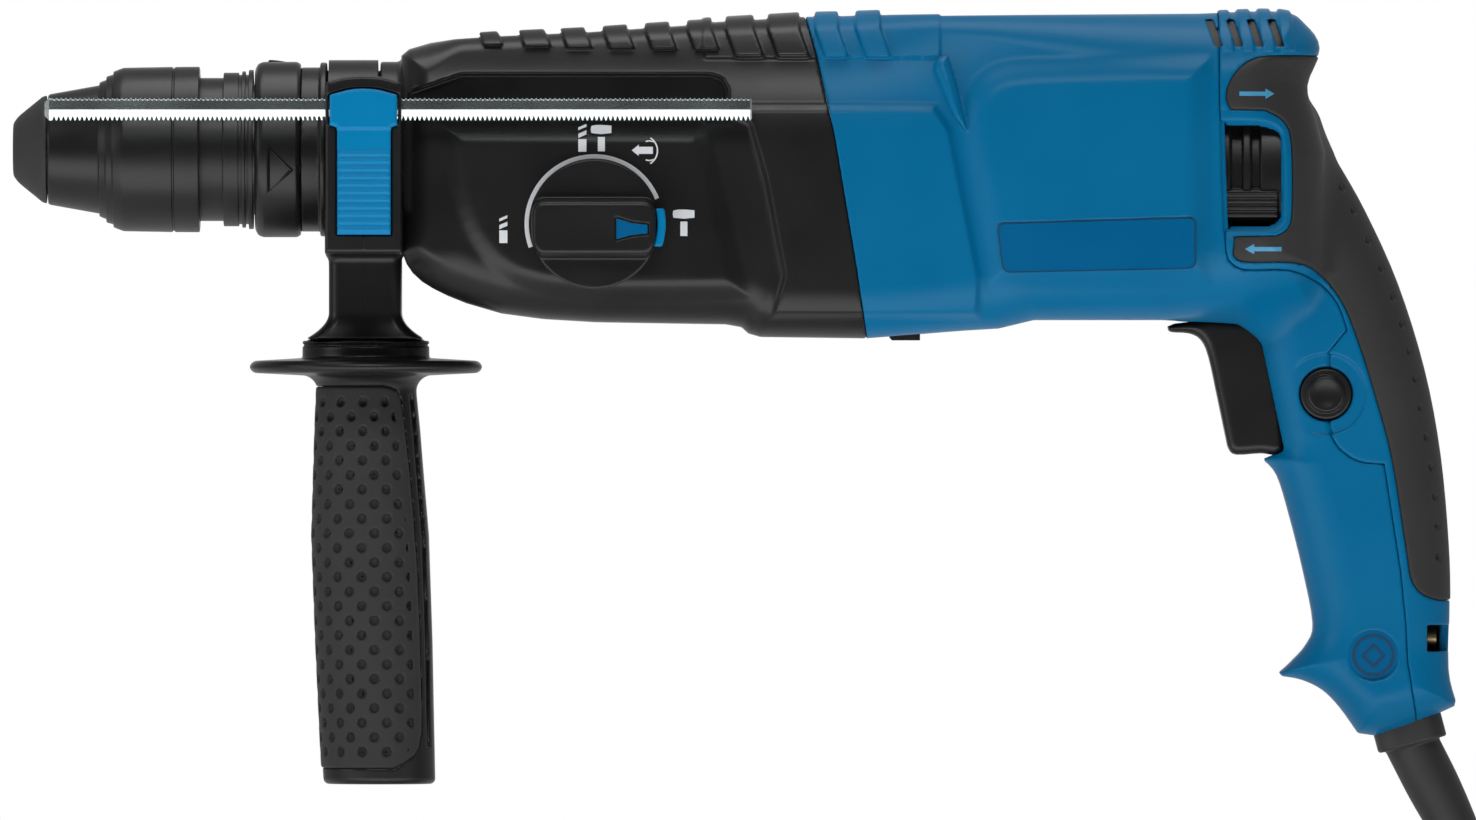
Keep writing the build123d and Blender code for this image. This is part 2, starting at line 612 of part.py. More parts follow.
with BuildPart() as shift_fork:
    drum(-213.1, -210.9, 11, 7.6, LAYSHAFT_Z)
    block((-214, 4, 30), (-210, 20, 70), mode=Mode.SUBTRACT)
    block((-213.1, -28, 50.5), (-210.9, -9.5, 55))
    block((-222, -28, 50.5), (-201.5, -26, 67))
    block((-214.3, -29, 55.5), (-208.9, -25, 65.5), mode=Mode.SUBTRACT)

# ---------------------------------------------------------------- switch, trigger and lock-on button
with BuildPart() as switch:
    block((-10, -8, -7), (14, 8, 27))
    block((-12.3, -4, 12), (-10, 4, 22))

with BuildPart() as trigger:
    with BuildSketch(Plane.XZ) as paddle:
        with BuildLine():
            Polyline((-52, 29.6), (-51.6, 27.9), (-45, 27.7))
            Spline((-45, 27.7), (-41, 24), (-38, 10), (-34.8, -5.2), (-33, -6.8))
            Polyline((-33, -6.8), (-22.4, -6.9), (-19.6, -4), (-19.2, 6), (-22, 22), (-26, 31), (-40, 31.6),
                     (-50, 30.4), (-52, 29.6))
        make_face()
    extrude(paddle.sketch, amount=8.5, both=True)
    fillet(trigger.edges().filter_by(GeomType.BSPLINE), 2.5)
    peg(*TRIGGER_PIVOT, 1.2, -9, 9)

with BuildPart() as lock_button:
    peg(BUTTON_X, BUTTON_Z, 7.2, -17.2, -12.6)
    peg(BUTTON_X, BUTTON_Z, 5.2, -18.4, -17.2)
    peg(BUTTON_X, BUTTON_Z, 2.2, -12.6, -11.4)

# ---------------------------------------------------------------- side handle
with BuildPart() as clamp_band:
    drum(-291, -277, 25.5, 22.6)
    for side in (-1, 1):
        block((-291, side * 5.3 - 1.5, 47), (-277, side * 5.3 + 1.5, 56))
    drum(-292, -276, 22.6, mode=Mode.SUBTRACT)

with BuildPart() as clamp_bolt:
    with BuildSketch(Plane.XY.offset(40.5)) as head:
        with Locations((SIDE_X, 0)):
            RegularPolygon(7, 6)
    extrude(head.sketch, amount=5)
    post(SIDE_X, 0, 3.9, -16, 40.5)

RIM_R = 33.3
BRACKET = (-291.4, -270.6)

with BuildPart() as handle_bracket:
    block((BRACKET[0], -15, 33), (BRACKET[1], 15, 66))
    block((BRACKET[0], -50, 50), (BRACKET[1], -36.5, 98.5))
    slab([(BRACKET[0], 98.4), (-286, 100.2), (-276, 100.2), (BRACKET[1], 98.4)], -50, -36.5)
    block((BRACKET[0], -46, 50), (BRACKET[1], -10, 60))
    with BuildSketch(Plane.XY.offset(33)) as waist:
        with Locations((SIDE_X, 0)):
            RectangleRounded(20.8, 30, 4)
    with BuildSketch(Plane.XY.offset(26)) as hem:
        with Locations((SIDE_X, 0)):
            RectangleRounded(34, 34, 16)
    loft(sections=[waist.sketch, hem.sketch])
    drum(-295, -265, 25.7, mode=Mode.SUBTRACT)
    block((-292, -7.2, 46), (-276, 7.2, 58), mode=Mode.SUBTRACT)
    post(SIDE_X, 0, 7.3, 40.3, 60, mode=Mode.SUBTRACT)
    post(SIDE_X, 0, 4.05, 20, 42, mode=Mode.SUBTRACT)
    block((-295, ROD_Y - 3.5, ROD_Z - 3.5), (-265, ROD_Y + 3.5, ROD_Z + 3.5), mode=Mode.SUBTRACT)
    block((-290, -52, 55), (-270.5 - 1, -46.5, 97), mode=Mode.SUBTRACT)

with BuildPart() as rod_button:
    block((-288, -51.3, 55.6), (-272.8, -48.4, 86))
    block((-289.6, -52, 86), (-271.9, -48.4, 95.6))
    for rib in range(11):
        block((-288, -52.1, 56 + 2.1 * rib), (-272.8, -51.3, 57.1 + 2.1 * rib))

with BuildPart() as depth_rod:
    block((-371, ROD_Y - ROD_SIDE / 2, ROD_Z - ROD_SIDE / 2), (-170.5, ROD_Y + ROD_SIDE / 2, ROD_Z + ROD_SIDE / 2))
    chamfer(depth_rod.edges().filter_by(Axis.X), 1.2)
    for tooth in range(148):
        x = -368 + 1.32 * tooth
        slab([(x, ROD_Z - 2.5), (x - 0.45, ROD_Z - 4), (x + 0.45, ROD_Z - 4)], ROD_Y - 4, ROD_Y + 4,
             mode=Mode.SUBTRACT)

HANDLE_SECTIONS = [
    # height, middle, half width
    (16.4, -280, 14.2), (-8, -279.9, 15.2), (-32, -279.1, 16.6), (-62, -278, 16.5), (-92, -276.9, 16.2),
]


def handle_form(inset):
    """The side handle's tapering body, drawn in by an inset."""
    with BuildPart() as solid:
        for height, middle, half in HANDLE_SECTIONS:
            with BuildSketch(Plane.XY.offset(height)):
                with Locations((middle, 0)):
                    Ellipse(half - inset, half - 1 - inset)
        loft(ruled=True)
    return solid.part


handle_outer = handle_form(0)
handle_skin = handle_form(SKIN)

with BuildPart() as grip_pad:
    add(handle_outer)
    add(handle_skin, mode=Mode.SUBTRACT)
    slab([(-300, 12.5), (-275, 12.5), (-271, 10), (-268, -12), (-265.5, -60), (-264.5, -88), (-268, -95),
          (-300, -95)], -40, 7, mode=Mode.INTERSECT)

with BuildPart() as grip_core:
    add(handle_outer)
    add(grip_pad.part, mode=Mode.SUBTRACT)
    with BuildSketch(Plane.XY.offset(-100.8)) as foot:
        with Locations((-276.8, 0)):
            Ellipse(15.2, 14.4)
    extrude(foot.sketch, amount=8.8)
    post(-280.3, 0, RIM_R, 16, 20.5)
    post(SIDE_X, 0, 18.2, 20.5, 25.6)
    post(SIDE_X, 0, 4.05, -20, 30, mode=Mode.SUBTRACT)

# ---------------------------------------------------------------- case screws
with BuildPart() as housing_screws:
    case_screw_holes(SCREW_HEAD_X - 4, SCREW_HEAD_X, 3.8, mode=Mode.ADD)
    case_screw_holes(SCREW_HEAD_X, -128, 2.1, mode=Mode.ADD)
    drum(14.5, 18.2, 2.0, z=-59.2)
    drum(18.2, 24.5, 3.3, z=-59.2)
    drum(23.2, 26, 1.4, z=-59.2, mode=Mode.SUBTRACT)

# ---------------------------------------------------------------- cord, strain relief and plug
BOOT_TILT = radians(27)
BOOT_TOP = (17.2, -88.6)
BOOT_LENGTH = 54.0
CORD_EXIT = (BOOT_TOP[0] + BOOT_LENGTH * sin(BOOT_TILT), 0, BOOT_TOP[1] - BOOT_LENGTH * cos(BOOT_TILT))

with BuildPart() as strain_relief:
    collar_dir = (0.257, 0, -0.966)
    with BuildSketch(Plane(origin=(15.4, 0, -82), x_dir=(0, 1, 0), z_dir=collar_dir)) as collar:
        RectangleRounded(18, 20, 8)
    extrude(collar.sketch, amount=7.2)
    boot_dir = (sin(BOOT_TILT), 0, -cos(BOOT_TILT))
    with BuildSketch(Plane(origin=(BOOT_TOP[0], 0, BOOT_TOP[1]), x_dir=(0, 1, 0), z_dir=boot_dir)) as boot_top:
        Circle(7.8)
    with BuildSketch(Plane(origin=CORD_EXIT, x_dir=(0, 1, 0), z_dir=boot_dir)) as boot_end:
        Circle(4.9)
    loft(sections=[boot_top.sketch, boot_end.sketch])
    neck_dir = (-0.257, 0, 0.966)
    with BuildSketch(Plane(origin=(15.4, 0, -82), x_dir=(0, 1, 0), z_dir=neck_dir)) as neck:
        Circle(6)
    extrude(neck.sketch, amount=6)
    with BuildSketch(Plane(origin=(14.1, 0, -77.1), x_dir=(0, 1, 0), z_dir=neck_dir)) as flare:
        RectangleRounded(20, 18, 5)
    extrude(flare.sketch, amount=3)

for shell in (motor_housing, handle_cover):
    with shell:
        add(strain_relief.part, mode=Mode.SUBTRACT)

REST_Z = BENCH_Z + CORD_R
LEAD_ROUTE = [
    CORD_EXIT, (55.2, 0, -164), (57, -3, -194), (45, -9, -220), (19, -20, -229.4), (-14, -36, REST_Z),
    (-47, -50.5, REST_Z),
]
TAIL_ROUTE = [
    (-118, -50, -222), (-137, -41, -221.6), (-158, -32, -221), (-184, -30, -221),
]


def route_length(points):
    return [(Vector(*b) - Vector(*a)).length for a, b in zip(points, points[1:])]


def corner_radii(points):
    """Each corner's arc, as large as its two runs allow."""
    runs = route_length(points)
    radii = []
    for before, here, after, run_in, run_out in zip(points, points[1:], points[2:], runs, runs[1:]):
        turn = (Vector(*here) - Vector(*before)).get_angle(Vector(*after) - Vector(*here))
        radii.append(0.45 * min(run_in, run_out) / tan(radians(turn) / 2))
    return radii


def cord_tube(points):
    """One round cord solid along straight runs joined by tangent arcs."""
    radii = corner_radii(points)
    with BuildPart() as solid:
        with BuildLine() as path:
            FilletPolyline(*points, radius=radii)
        with BuildSketch(Plane(origin=points[0], z_dir=Vector(*points[1]) - Vector(*points[0]))):
            Circle(CORD_R)
        sweep()
    length = path.wire().length
    print("radii", [round(radius) for radius in radii], "length", round(length),
          "volume ratio", round(solid.part.volume / (pi * CORD_R**2 * length), 4))
    return solid


cord_lead = cord_tube(LEAD_ROUTE)
cord_tail = cord_tube(TAIL_ROUTE)

COIL_HALF = COIL_TURNS * CORD_R
COIL_HIGH = COIL_LAYERS * 2 * CORD_R
COIL_Z = BENCH_Z + 1.0

with BuildPart() as cord_coil:
    with BuildSketch(Plane.XZ) as section:
        with Locations((COIL_X + COIL_MEAN_R, COIL_Z + COIL_HIGH / 2)):
            RectangleRounded(2 * COIL_HALF, COIL_HIGH, 3.5)
    revolve(section.sketch, axis=Axis((COIL_X, 0, 0), (0, 0, 1)))

with BuildPart() as cord_tie:
    reach = (COIL_X - COIL_MEAN_R - COIL_HALF - 1, COIL_X - COIL_MEAN_R + COIL_HALF + 1)
    block((reach[0], -6, BENCH_Z), (reach[1], 6, COIL_Z + COIL_HIGH + 1))
    add(cord_coil.part, mode=Mode.SUBTRACT)

PLUG_X = -184.0
PLUG_Y = -30.0
PLUG_Z = BENCH_Z + 13
PIN_GAP = 19.0
PIN_R = 2.4


def plug_face(x, width, height, corner):
    with BuildSketch(Plane(origin=(x, PLUG_Y, PLUG_Z), x_dir=(0, 1, 0), z_dir=(-1, 0, 0))) as face:
        RectangleRounded(width, height, corner)
    return face.sketch


with BuildPart() as plug:
    loft(sections=[plug_face(PLUG_X, 9, 9, 4.4), plug_face(PLUG_X - 22, 14, 13, 6)])
    loft(sections=[plug_face(PLUG_X - 22, 18, 17, 6), plug_face(PLUG_X - 36, 34, 25, 10)])
    extrude(plug_face(PLUG_X - 36, 36, 26, 11), amount=18)
    for side in (-1, 1):
        with BuildSketch(Plane(origin=(PLUG_X - 54, PLUG_Y + side * PIN_GAP / 2, PLUG_Z), z_dir=(-1, 0, 0))) as pin:
            Circle(PIN_R)
        extrude(pin.sketch, amount=19)

# ---------------------------------------------------------------- write every piece
PIECES = {
    "gear_housing": gear_housing, "motor_housing": motor_housing, "handle_cover": handle_cover,
    "soft_grip": soft_grip, "intermediate_flange": intermediate_flange,
    "spindle_bearings": spindle_bearings, "spindle_seal": spindle_seal,
    "armature_bearings": armature_bearings, "intermediate_bearings": intermediate_bearings,
    "stator_core": stator_core, "field_coils": field_coils, "switch": switch,
    "housing_screws": housing_screws, "strain_relief": strain_relief, "cord_lead": cord_lead,
    "cord_coil": cord_coil, "cord_tail": cord_tail, "cord_tie": cord_tie, "plug": plug,
    "armature_shaft": armature_shaft, "armature_core": armature_core,
    "armature_windings": armature_windings, "commutator": commutator, "fan": fan,
    "brush_plate": brush_plate, "direction_lever": direction_lever, "brush_holders": brush_holders,
    "carbon_brushes": carbon_brushes, "intermediate_shaft": intermediate_shaft,
    "intermediate_gear": intermediate_gear, "wobble_hub": wobble_hub, "wobble_balls": wobble_balls,
    "clutch_sleeve": clutch_sleeve, "spindle_tube": spindle_tube, "spindle_gear": spindle_gear,
    "clutch_spring": clutch_spring, "chuck_body": chuck_body, "chuck_cover": chuck_cover,
    "dust_cap": dust_cap, "locking_balls": locking_balls, "locking_sleeve": locking_sleeve,
    "sleeve_spring": sleeve_spring, "changer_ring": changer_ring, "wobble_ring": wobble_ring,
    "piston": piston, "trunnion": trunnion, "striker": striker, "impact_bolt": impact_bolt,
    "mode_knob": mode_knob, "knob_pointer": knob_pointer, "shift_fork": shift_fork,
    "trigger": trigger, "lock_button": lock_button, "clamp_band": clamp_band,
    "handle_bracket": handle_bracket, "clamp_bolt": clamp_bolt, "grip_core": grip_core,
    "grip_pad": grip_pad, "depth_rod": depth_rod, "rod_button": rod_button,
}

for name, piece in PIECES.items():
    piece.part.label = name
    export_step(piece.part, f"parts/{name}.step")
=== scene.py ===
import json
from math import cos, pi, radians, sin

import bpy
import numpy as np
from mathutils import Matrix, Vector


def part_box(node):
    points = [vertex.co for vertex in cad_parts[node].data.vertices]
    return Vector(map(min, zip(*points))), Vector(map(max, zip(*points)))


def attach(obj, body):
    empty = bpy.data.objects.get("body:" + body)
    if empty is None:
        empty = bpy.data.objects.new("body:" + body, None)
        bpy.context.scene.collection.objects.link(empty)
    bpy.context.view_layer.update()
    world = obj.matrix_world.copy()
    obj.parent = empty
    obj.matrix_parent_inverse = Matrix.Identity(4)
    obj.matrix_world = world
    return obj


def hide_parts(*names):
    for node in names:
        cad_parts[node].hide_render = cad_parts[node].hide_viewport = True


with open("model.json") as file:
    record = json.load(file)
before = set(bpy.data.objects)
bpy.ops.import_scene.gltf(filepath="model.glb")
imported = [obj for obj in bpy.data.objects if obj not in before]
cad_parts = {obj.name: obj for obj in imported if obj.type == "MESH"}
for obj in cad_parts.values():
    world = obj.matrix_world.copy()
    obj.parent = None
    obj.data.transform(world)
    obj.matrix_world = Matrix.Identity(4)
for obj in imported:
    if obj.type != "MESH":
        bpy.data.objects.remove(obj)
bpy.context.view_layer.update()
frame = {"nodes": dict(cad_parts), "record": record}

# Lengths in this script are in millimetres, in the row frame: nose along -X, knob side -Y, +Z up.
# Meshes are scaled to metres when they are made.
MM = 0.001
FINE = 1.0


# --- places taken from the frame
def span(node):
    """A CAD node's lowest and highest corners, in millimetres."""
    low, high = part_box(node)
    return np.array(low) / MM, np.array(high) / MM


def middle(node):
    low, high = span(node)
    return (low + high) / 2


PLACES = {item["name"]: [v / MM for v in item["pos_m"]]
          for item in frame["record"]["mounts"] + frame["record"]["behaviour"]["joints"] if "pos_m" in item}
AXIS_Z = PLACES["tool_socket"][2]
MOTOR_Z = PLACES["armature_spin"][2]
KNOB_X, _, KNOB_Z = PLACES["mode_knob_turn"]
GRIP_X = PLACES["side_grip_turn"][0]
BUTTON_X, _, BUTTON_Z = middle("lock_button")
BENCH_Z = span("cord_tie")[0][2]


# --- distance fields
ROOT_HALF = 0.70711


def both(a, b, r=0.0):
    """What is in a and in b, with an edge rounded by r."""
    return np.minimum(np.maximum(a, b), -r) + np.hypot(np.maximum(a + r, 0), np.maximum(b + r, 0))


def either(a, b, r=0.0):
    """What is in a or in b, with a hollow corner of radius r."""
    return -both(-a, -b, r)


def cut(a, b, r=0.0):
    """a without b."""
    return both(a, -b, r)


def bevelled(a, b, size):
    """What is in a and in b, with a flat bevel."""
    return np.maximum(np.maximum(a, b), (a + b + size) * ROOT_HALF)


def slab(distance, half):
    """What is within half a thickness of a middle plane, from the distance to that plane."""
    return np.abs(distance) - half


def ease(value):
    """0 below 0, 1 above 1, and smooth between."""
    t = np.clip(value, 0, 1)
    return t * t * (3 - 2 * t)


def outline(x, z, points):
    """Signed distance to a closed outline of (x, z) corners."""
    best = np.float32(1e12)
    inside = False
    for (ax, az), (bx, bz) in zip(points, points[1:] + points[:1]):
        ex, ez = bx - ax, bz - az
        wx, wz = x - ax, z - az
        t = np.clip((wx * ex + wz * ez) / (ex * ex + ez * ez), 0, 1)
        best = np.minimum(best, (wx - ex * t) ** 2 + (wz - ez * t) ** 2)
        if az != bz:
            inside = inside ^ (((az > z) != (bz > z)) & (wx < ex * wz / ez))
    return np.where(inside, -1, 1) * np.sqrt(best)


def curve(points, steps=4):
    """Points along a smooth curve through these ones."""
    p = np.array([points[0]] + list(points) + [points[-1]], float)
    found = []
    for a, b, c, d in zip(p, p[1:], p[2:], p[3:]):
        for t in np.arange(steps) / steps:
            found.append(tuple(0.5 * (2 * b + (c - a) * t + (2 * a - 5 * b + 4 * c - d) * t**2
                                      + (3 * b - a - 3 * c + d) * t**3)))
    return found + [tuple(points[-1])]


def disc(x, z, cx, cz, radius):
    return np.hypot(x - cx, z - cz) - radius


def rect(x, z, x0, x1, z0, z1, r=0.0):
    """A rectangle with rounded corners."""
    return both(slab(x - (x0 + x1) / 2, (x1 - x0) / 2), slab(z - (z0 + z1) / 2, (z1 - z0) / 2), r)


def dents(field, x, y, z, places, radius, edge=0.25):
    """The field with a small round dent at each place."""
    field = np.array(field)
    reach = radius * 2.5
    for cx, cy, cz in places:
        if field.ndim == 3:
            part = tuple(slice(*np.searchsorted(axis.ravel(), (c - reach, c + reach)))
                         for axis, c in ((x, cx), (y, cy), (z, cz)))
            px, py, pz = x[part[0]], y[:, part[1]], z[:, :, part[2]]
        else:
            part = np.nonzero((np.abs(x - cx) < reach) & (np.abs(y - cy) < reach) & (np.abs(z - cz) < reach))[0]
            px, py, pz = x[part], y[part], z[part]
        ball = np.sqrt((px - cx) ** 2 + (py - cy) ** 2 + (pz - cz) ** 2) - radius
        if ball.size:
            field[part] = cut(field[part], ball, edge)
    return field


# --- meshes from fields
def take_faces(numbers, inside, axis):
    """Quads between the four cells round each grid edge along an axis that crosses the surface."""
    first = np.take(inside, range(inside.shape[axis] - 1), axis)
    last = np.take(inside, range(1, inside.shape[axis]), axis)
    crossing = first != last
    b, c = [other for other in range(3) if other != axis]
    keep = [slice(None)] * 3
    keep[b] = slice(1, -1)
    keep[c] = slice(1, -1)
    spots = np.argwhere(crossing[tuple(keep)])
    spots[:, b] += 1
    spots[:, c] += 1
    ring = []
    for db, dc in ((-1, -1), (0, -1), (0, 0), (-1, 0)):
        cell = spots.copy()
        cell[:, b] += db
        cell[:, c] += dc
        ring.append(numbers[cell[:, 0], cell[:, 1], cell[:, 2]])
    quads = np.stack(ring, axis=1)
    turn = first[spots[:, 0], spots[:, 1], spots[:, 2]]
    if axis == 1:
        turn = ~turn
    quads[~turn] = quads[~turn][:, ::-1]
    return quads


def surface(field, low, high, step):
    """Corners and quads of the surface where field(x, y, z) is 0, inside a box."""
    axes = [np.arange(a - 1.5 * step, b + 1.5 * step, step) for a, b in zip(low, high)]
    x, y, z = axes[0][:, None, None], axes[1][None, :, None], axes[2][None, None, :]
    value = np.broadcast_to(field(x, y, z), [len(axis) for axis in axes]).astype(np.float32)
    inside = value < 0
    count = np.zeros([n - 1 for n in inside.shape], np.int8)
    corners = [(i, j, k) for i in (0, 1) for j in (0, 1) for k in (0, 1)]
    nx, ny, nz = count.shape
    for i, j, k in corners:
        count += inside[i:nx + i, j:ny + j, k:nz + k]
    mixed = (count > 0) & (count < 8)
    numbers = np.full(mixed.shape, -1, np.int64)
    cells = np.argwhere(mixed)
    numbers[mixed] = np.arange(len(cells))
    total = np.zeros((len(cells), 3))
    hits = np.zeros(len(cells))
    for axis in range(3):
        for start in (c for c in corners if c[axis] == 0):
            a = cells + start
            b = a.copy()
            b[:, axis] += 1
            fa = value[a[:, 0], a[:, 1], a[:, 2]]
            fb = value[b[:, 0], b[:, 1], b[:, 2]]
            hit = (fa < 0) != (fb < 0)
            spot = a[hit].astype(float)
            spot[:, axis] += fa[hit] / (fa[hit] - fb[hit])
            total[hit] += spot
            hits[hit] += 1
    verts = np.array([axis[0] for axis in axes]) + step * total / hits[:, None]
    quads = np.concatenate([take_faces(numbers, inside, axis) for axis in range(3)])
    return settle(field, verts, step), quads


def settle(field, verts, step, rounds=2):
    """Moves each corner onto the surface, along the field's slope."""
    nudge = 0.3 * step
    for _ in range(rounds):
        x, y, z = verts.T
        value = field(x, y, z)
        slope = np.stack([field(x + nudge, y, z) - field(x - nudge, y, z),
                          field(x, y + nudge, z) - field(x, y - nudge, z),
                          field(x, y, z + nudge) - field(x, y, z - nudge)], axis=1) / (2 * nudge)
        steep = np.maximum((slope**2).sum(axis=1), 0.2)
        move = -slope * (value / steep)[:, None]
        far = np.maximum(np.linalg.norm(move, axis=1) / (0.6 * step), 1)
        verts = verts + move / far[:, None]
    return verts


def placed(name, data):
    """A new object in the scene."""
    thing = bpy.data.objects.new(name, data)
    bpy.context.scene.collection.objects.link(thing)
    return thing


def circle(cx, cz, radius, around):
    """Evenly spaced spots on a circle."""
    return [(cx + radius * cos(2 * pi * a / around), cz + radius * sin(2 * pi * a / around)) for a in range(around)]


def make(name, verts, faces, body, finish, *nodes, smooth=True):
    """A mesh piece from corners in millimetres and faces, on a body, with a finish."""
    mesh = bpy.data.meshes.new(name)
    mesh.from_pydata((np.asarray(verts, float) * MM).tolist(), [], [list(map(int, f)) for f in faces])
    mesh.update()
    mesh.polygons.foreach_set("use_smooth", [smooth] * len(mesh.polygons))
    thing = placed(name, mesh)
    mesh.materials.append(FINISHES[finish])
    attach(thing, body)
    if nodes:
        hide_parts(*nodes)


def mould(name, field, low, high, step, body, finish, *nodes):
    """A piece whose surface is where a distance field is 0."""
    verts, quads = surface(field, low, high, step * FINE)
    make(name, verts, quads, body, finish, *nodes)


def rounded(corners, steps=4):
    """A closed outline with each (x, z, rounding) corner rounded."""
    found = []
    for before, here, after in zip(corners[-1:] + corners[:-1], corners, corners[1:] + corners[:1]):
        p = np.array(here[:2], float)
        into = np.array(before[:2]) - p
        out = np.array(after[:2]) - p
        size = min(here[2], 0.45 * np.linalg.norm(into), 0.45 * np.linalg.norm(out))
        if size <= 0:
            found.append(tuple(p))
            continue
        a = p + into / np.linalg.norm(into) * size
        b = p + out / np.linalg.norm(out) * size
        for t in np.arange(steps + 1) / steps:
            found.append(tuple((1 - t) ** 2 * a + 2 * t * (1 - t) * p + t**2 * b))
    return found


def turning(points):
    """Twice an outline's area, positive when it runs anticlockwise."""
    return sum(p[0] * q[1] - q[0] * p[1] for p, q in zip(points, points[1:] + points[:1]))


def turned(name, corners, body, finish, *nodes):
    """A turned piece along X from (x, radius, rounding) corners of its closed half section."""
    profile = rounded(corners)
    n, around = len(profile), 160
    verts = [(x, r * cos(2 * pi * a / around), AXIS_Z + r * sin(2 * pi * a / around))
             for a in range(around) for x, r in profile]
    faces = [(a * n + i, a * n + (i + 1) % n, (a + 1) % around * n + (i + 1) % n, (a + 1) % around * n + i)
             for a in range(around) for i in range(n)]
    if turning(profile) > 0:
        faces = [face[::-1] for face in faces]
    make(name, verts, faces, body, finish, *nodes)


def plate(name, shapes, y_face, height, body, finish):
    """Thin flat shapes, each an (x, z) outline, standing off a face that looks along -Y."""
    verts, faces = [], []
    for points in shapes:
        n, base = len(points), len(verts)
        ring = points if turning(points) > 0 else points[::-1]
        verts += [(x, y_face, z) for x, z in ring] + [(x, y_face - height, z) for x, z in ring]
        faces.append([base + n + i for i in range(n)])
        faces.append([base + i for i in reversed(range(n))])
        faces += [(base + i, base + (i + 1) % n, base + n + (i + 1) % n, base + n + i) for i in range(n)]
    make(name, verts, faces, body, finish, smooth=False)


# --- finishes
def feed(tree, node, values):
    """Sets a node's inputs, each to a constant or to another node's output."""
    for key, value in values.items():
        if isinstance(value, bpy.types.NodeSocket):
            tree.links.new(value, node.inputs[key])
        else:
            node.inputs[key].default_value = value


def add_node(tree, kind, values, **settings):
    """A new shader node with its settings and inputs."""
    node = tree.nodes.new("ShaderNode" + kind)
    for key, value in settings.items():
        setattr(node, key, value)
    feed(tree, node, values)
    return node


def noise(tree, scale, detail=3.0, stretch=(1, 1, 1)):
    """A noise texture in the row frame, at a scale per metre."""
    coord = add_node(tree, "TexCoord", {}).outputs["Object"]
    place = add_node(tree, "Mapping", {"Vector": coord, "Scale": stretch}).outputs["Vector"]
    return add_node(tree, "TexNoise", {"Vector": place, "Scale": scale, "Detail": detail}).outputs["Fac"]


CLOUD_SCALE = 45.0
GRAIN_SHARE = 0.4
GLOSS_SPREAD = 0.08
FINISHES = {}


def finish(name, dark, light, rough, grain=2600.0, depth=0.00003, strength=0.35, stretch=(1, 1, 1), metallic=0.0,
           specular=0.5, sheen=0.0):
    """A procedural finish: two close shades, a fine grain in the surface and uneven gloss."""
    mat = bpy.data.materials.new(name)
    mat.use_nodes = True
    tree = mat.node_tree
    cloudy = noise(tree, CLOUD_SCALE)
    fine = noise(tree, grain, 2.0, stretch)
    amount = add_node(tree, "Math", {0: fine, 1: GRAIN_SHARE, 2: cloudy}, operation="MULTIPLY_ADD")
    shift = add_node(tree, "Math", {0: amount.outputs[0], 1: GRAIN_SHARE / 2}, operation="SUBTRACT", use_clamp=True)
    blend = add_node(tree, "Mix", {"A": (*dark, 1), "B": (*light, 1), "Factor": shift.outputs[0]}, data_type="RGBA")
    gloss = add_node(tree, "MapRange", {"To Min": rough - GLOSS_SPREAD, "To Max": rough + GLOSS_SPREAD,
                                        "Value": cloudy})
    bump = add_node(tree, "Bump", {"Strength": strength, "Distance": depth, "Height": fine})
    feed(tree, tree.nodes["Principled BSDF"], {
        "Base Color": blend.outputs["Result"], "Roughness": gloss.outputs["Result"],
        "Normal": bump.outputs["Normal"], "Metallic": metallic, "Specular IOR Level": specular,
        "Sheen Weight": sheen})
    FINISHES[name] = mat


finish("black_plastic", (0.0075, 0.0073, 0.0075), (0.012, 0.0117, 0.012), 0.34, specular=0.36)
finish("blue_plastic", (0.000, 0.130, 0.290), (0.000, 0.150, 0.330), 0.36, specular=0.14)
finish("blue_insert", (0.000, 0.190, 0.420), (0.000, 0.215, 0.470), 0.34, specular=0.15)
finish("label_blue", (0.000, 0.105, 0.260), (0.000, 0.115, 0.285), 0.30, strength=0.05, specular=0.15)
finish("label_edge", (0.000, 0.040, 0.100), (0.000, 0.048, 0.120), 0.40, strength=0.05)
finish("arrow_blue", (0.055, 0.29, 0.50), (0.065, 0.32, 0.54), 0.5)
finish("white_print", (0.68, 0.70, 0.73), (0.75, 0.77, 0.80), 0.5, strength=0.1)
finish("black_rubber", (0.024, 0.0225, 0.0225), (0.036, 0.034, 0.034), 0.60, grain=1900.0, depth=0.00006,
       specular=0.3, sheen=0.05)
finish("cord_rubber", (0.012, 0.012, 0.012), (0.022, 0.021, 0.021), 0.55, sheen=0.1)
finish("grey_plastic", (0.10, 0.10, 0.10), (0.15, 0.15, 0.15), 0.5)
finish("cast_aluminium", (0.45, 0.45, 0.46), (0.60, 0.60, 0.60), 0.45, metallic=1.0)
finish("steel", (0.42, 0.42, 0.43), (0.58, 0.58, 0.58), 0.28, depth=0.00001, stretch=(0.15, 1, 1), metallic=1.0)
finish("dark_steel", (0.10, 0.10, 0.11), (0.17, 0.17, 0.18), 0.38, metallic=1.0)
finish("zinc_steel", (0.64, 0.73, 0.74), (0.78, 0.86, 0.86), 0.24, grain=1800.0, stretch=(0.08, 1, 1),
       metallic=1.0)
finish("copper", (0.50, 0.19, 0.10), (0.66, 0.27, 0.15), 0.35, metallic=1.0)
finish("brass", (0.55, 0.38, 0.14), (0.68, 0.50, 0.20), 0.32, metallic=1.0)
finish("brass_screw", (0.50, 0.38, 0.20), (0.64, 0.50, 0.28), 0.35, metallic=1.0)
finish("carbon", (0.012, 0.012, 0.013), (0.03, 0.03, 0.032), 0.6)

# Every CAD node shows in the finish that its own slot names.
for node in frame["nodes"]:
    for slot in bpy.data.objects[node].material_slots:
        slot.material = FINISHES[slot.material.name.split(".")[0]]

# --- the casing's shape
HALF = 37.4
CROWN = 44.0
GRIP_HALF = 16.6
WALL = 2.6
GAP = 0.09
LIP = 1.3

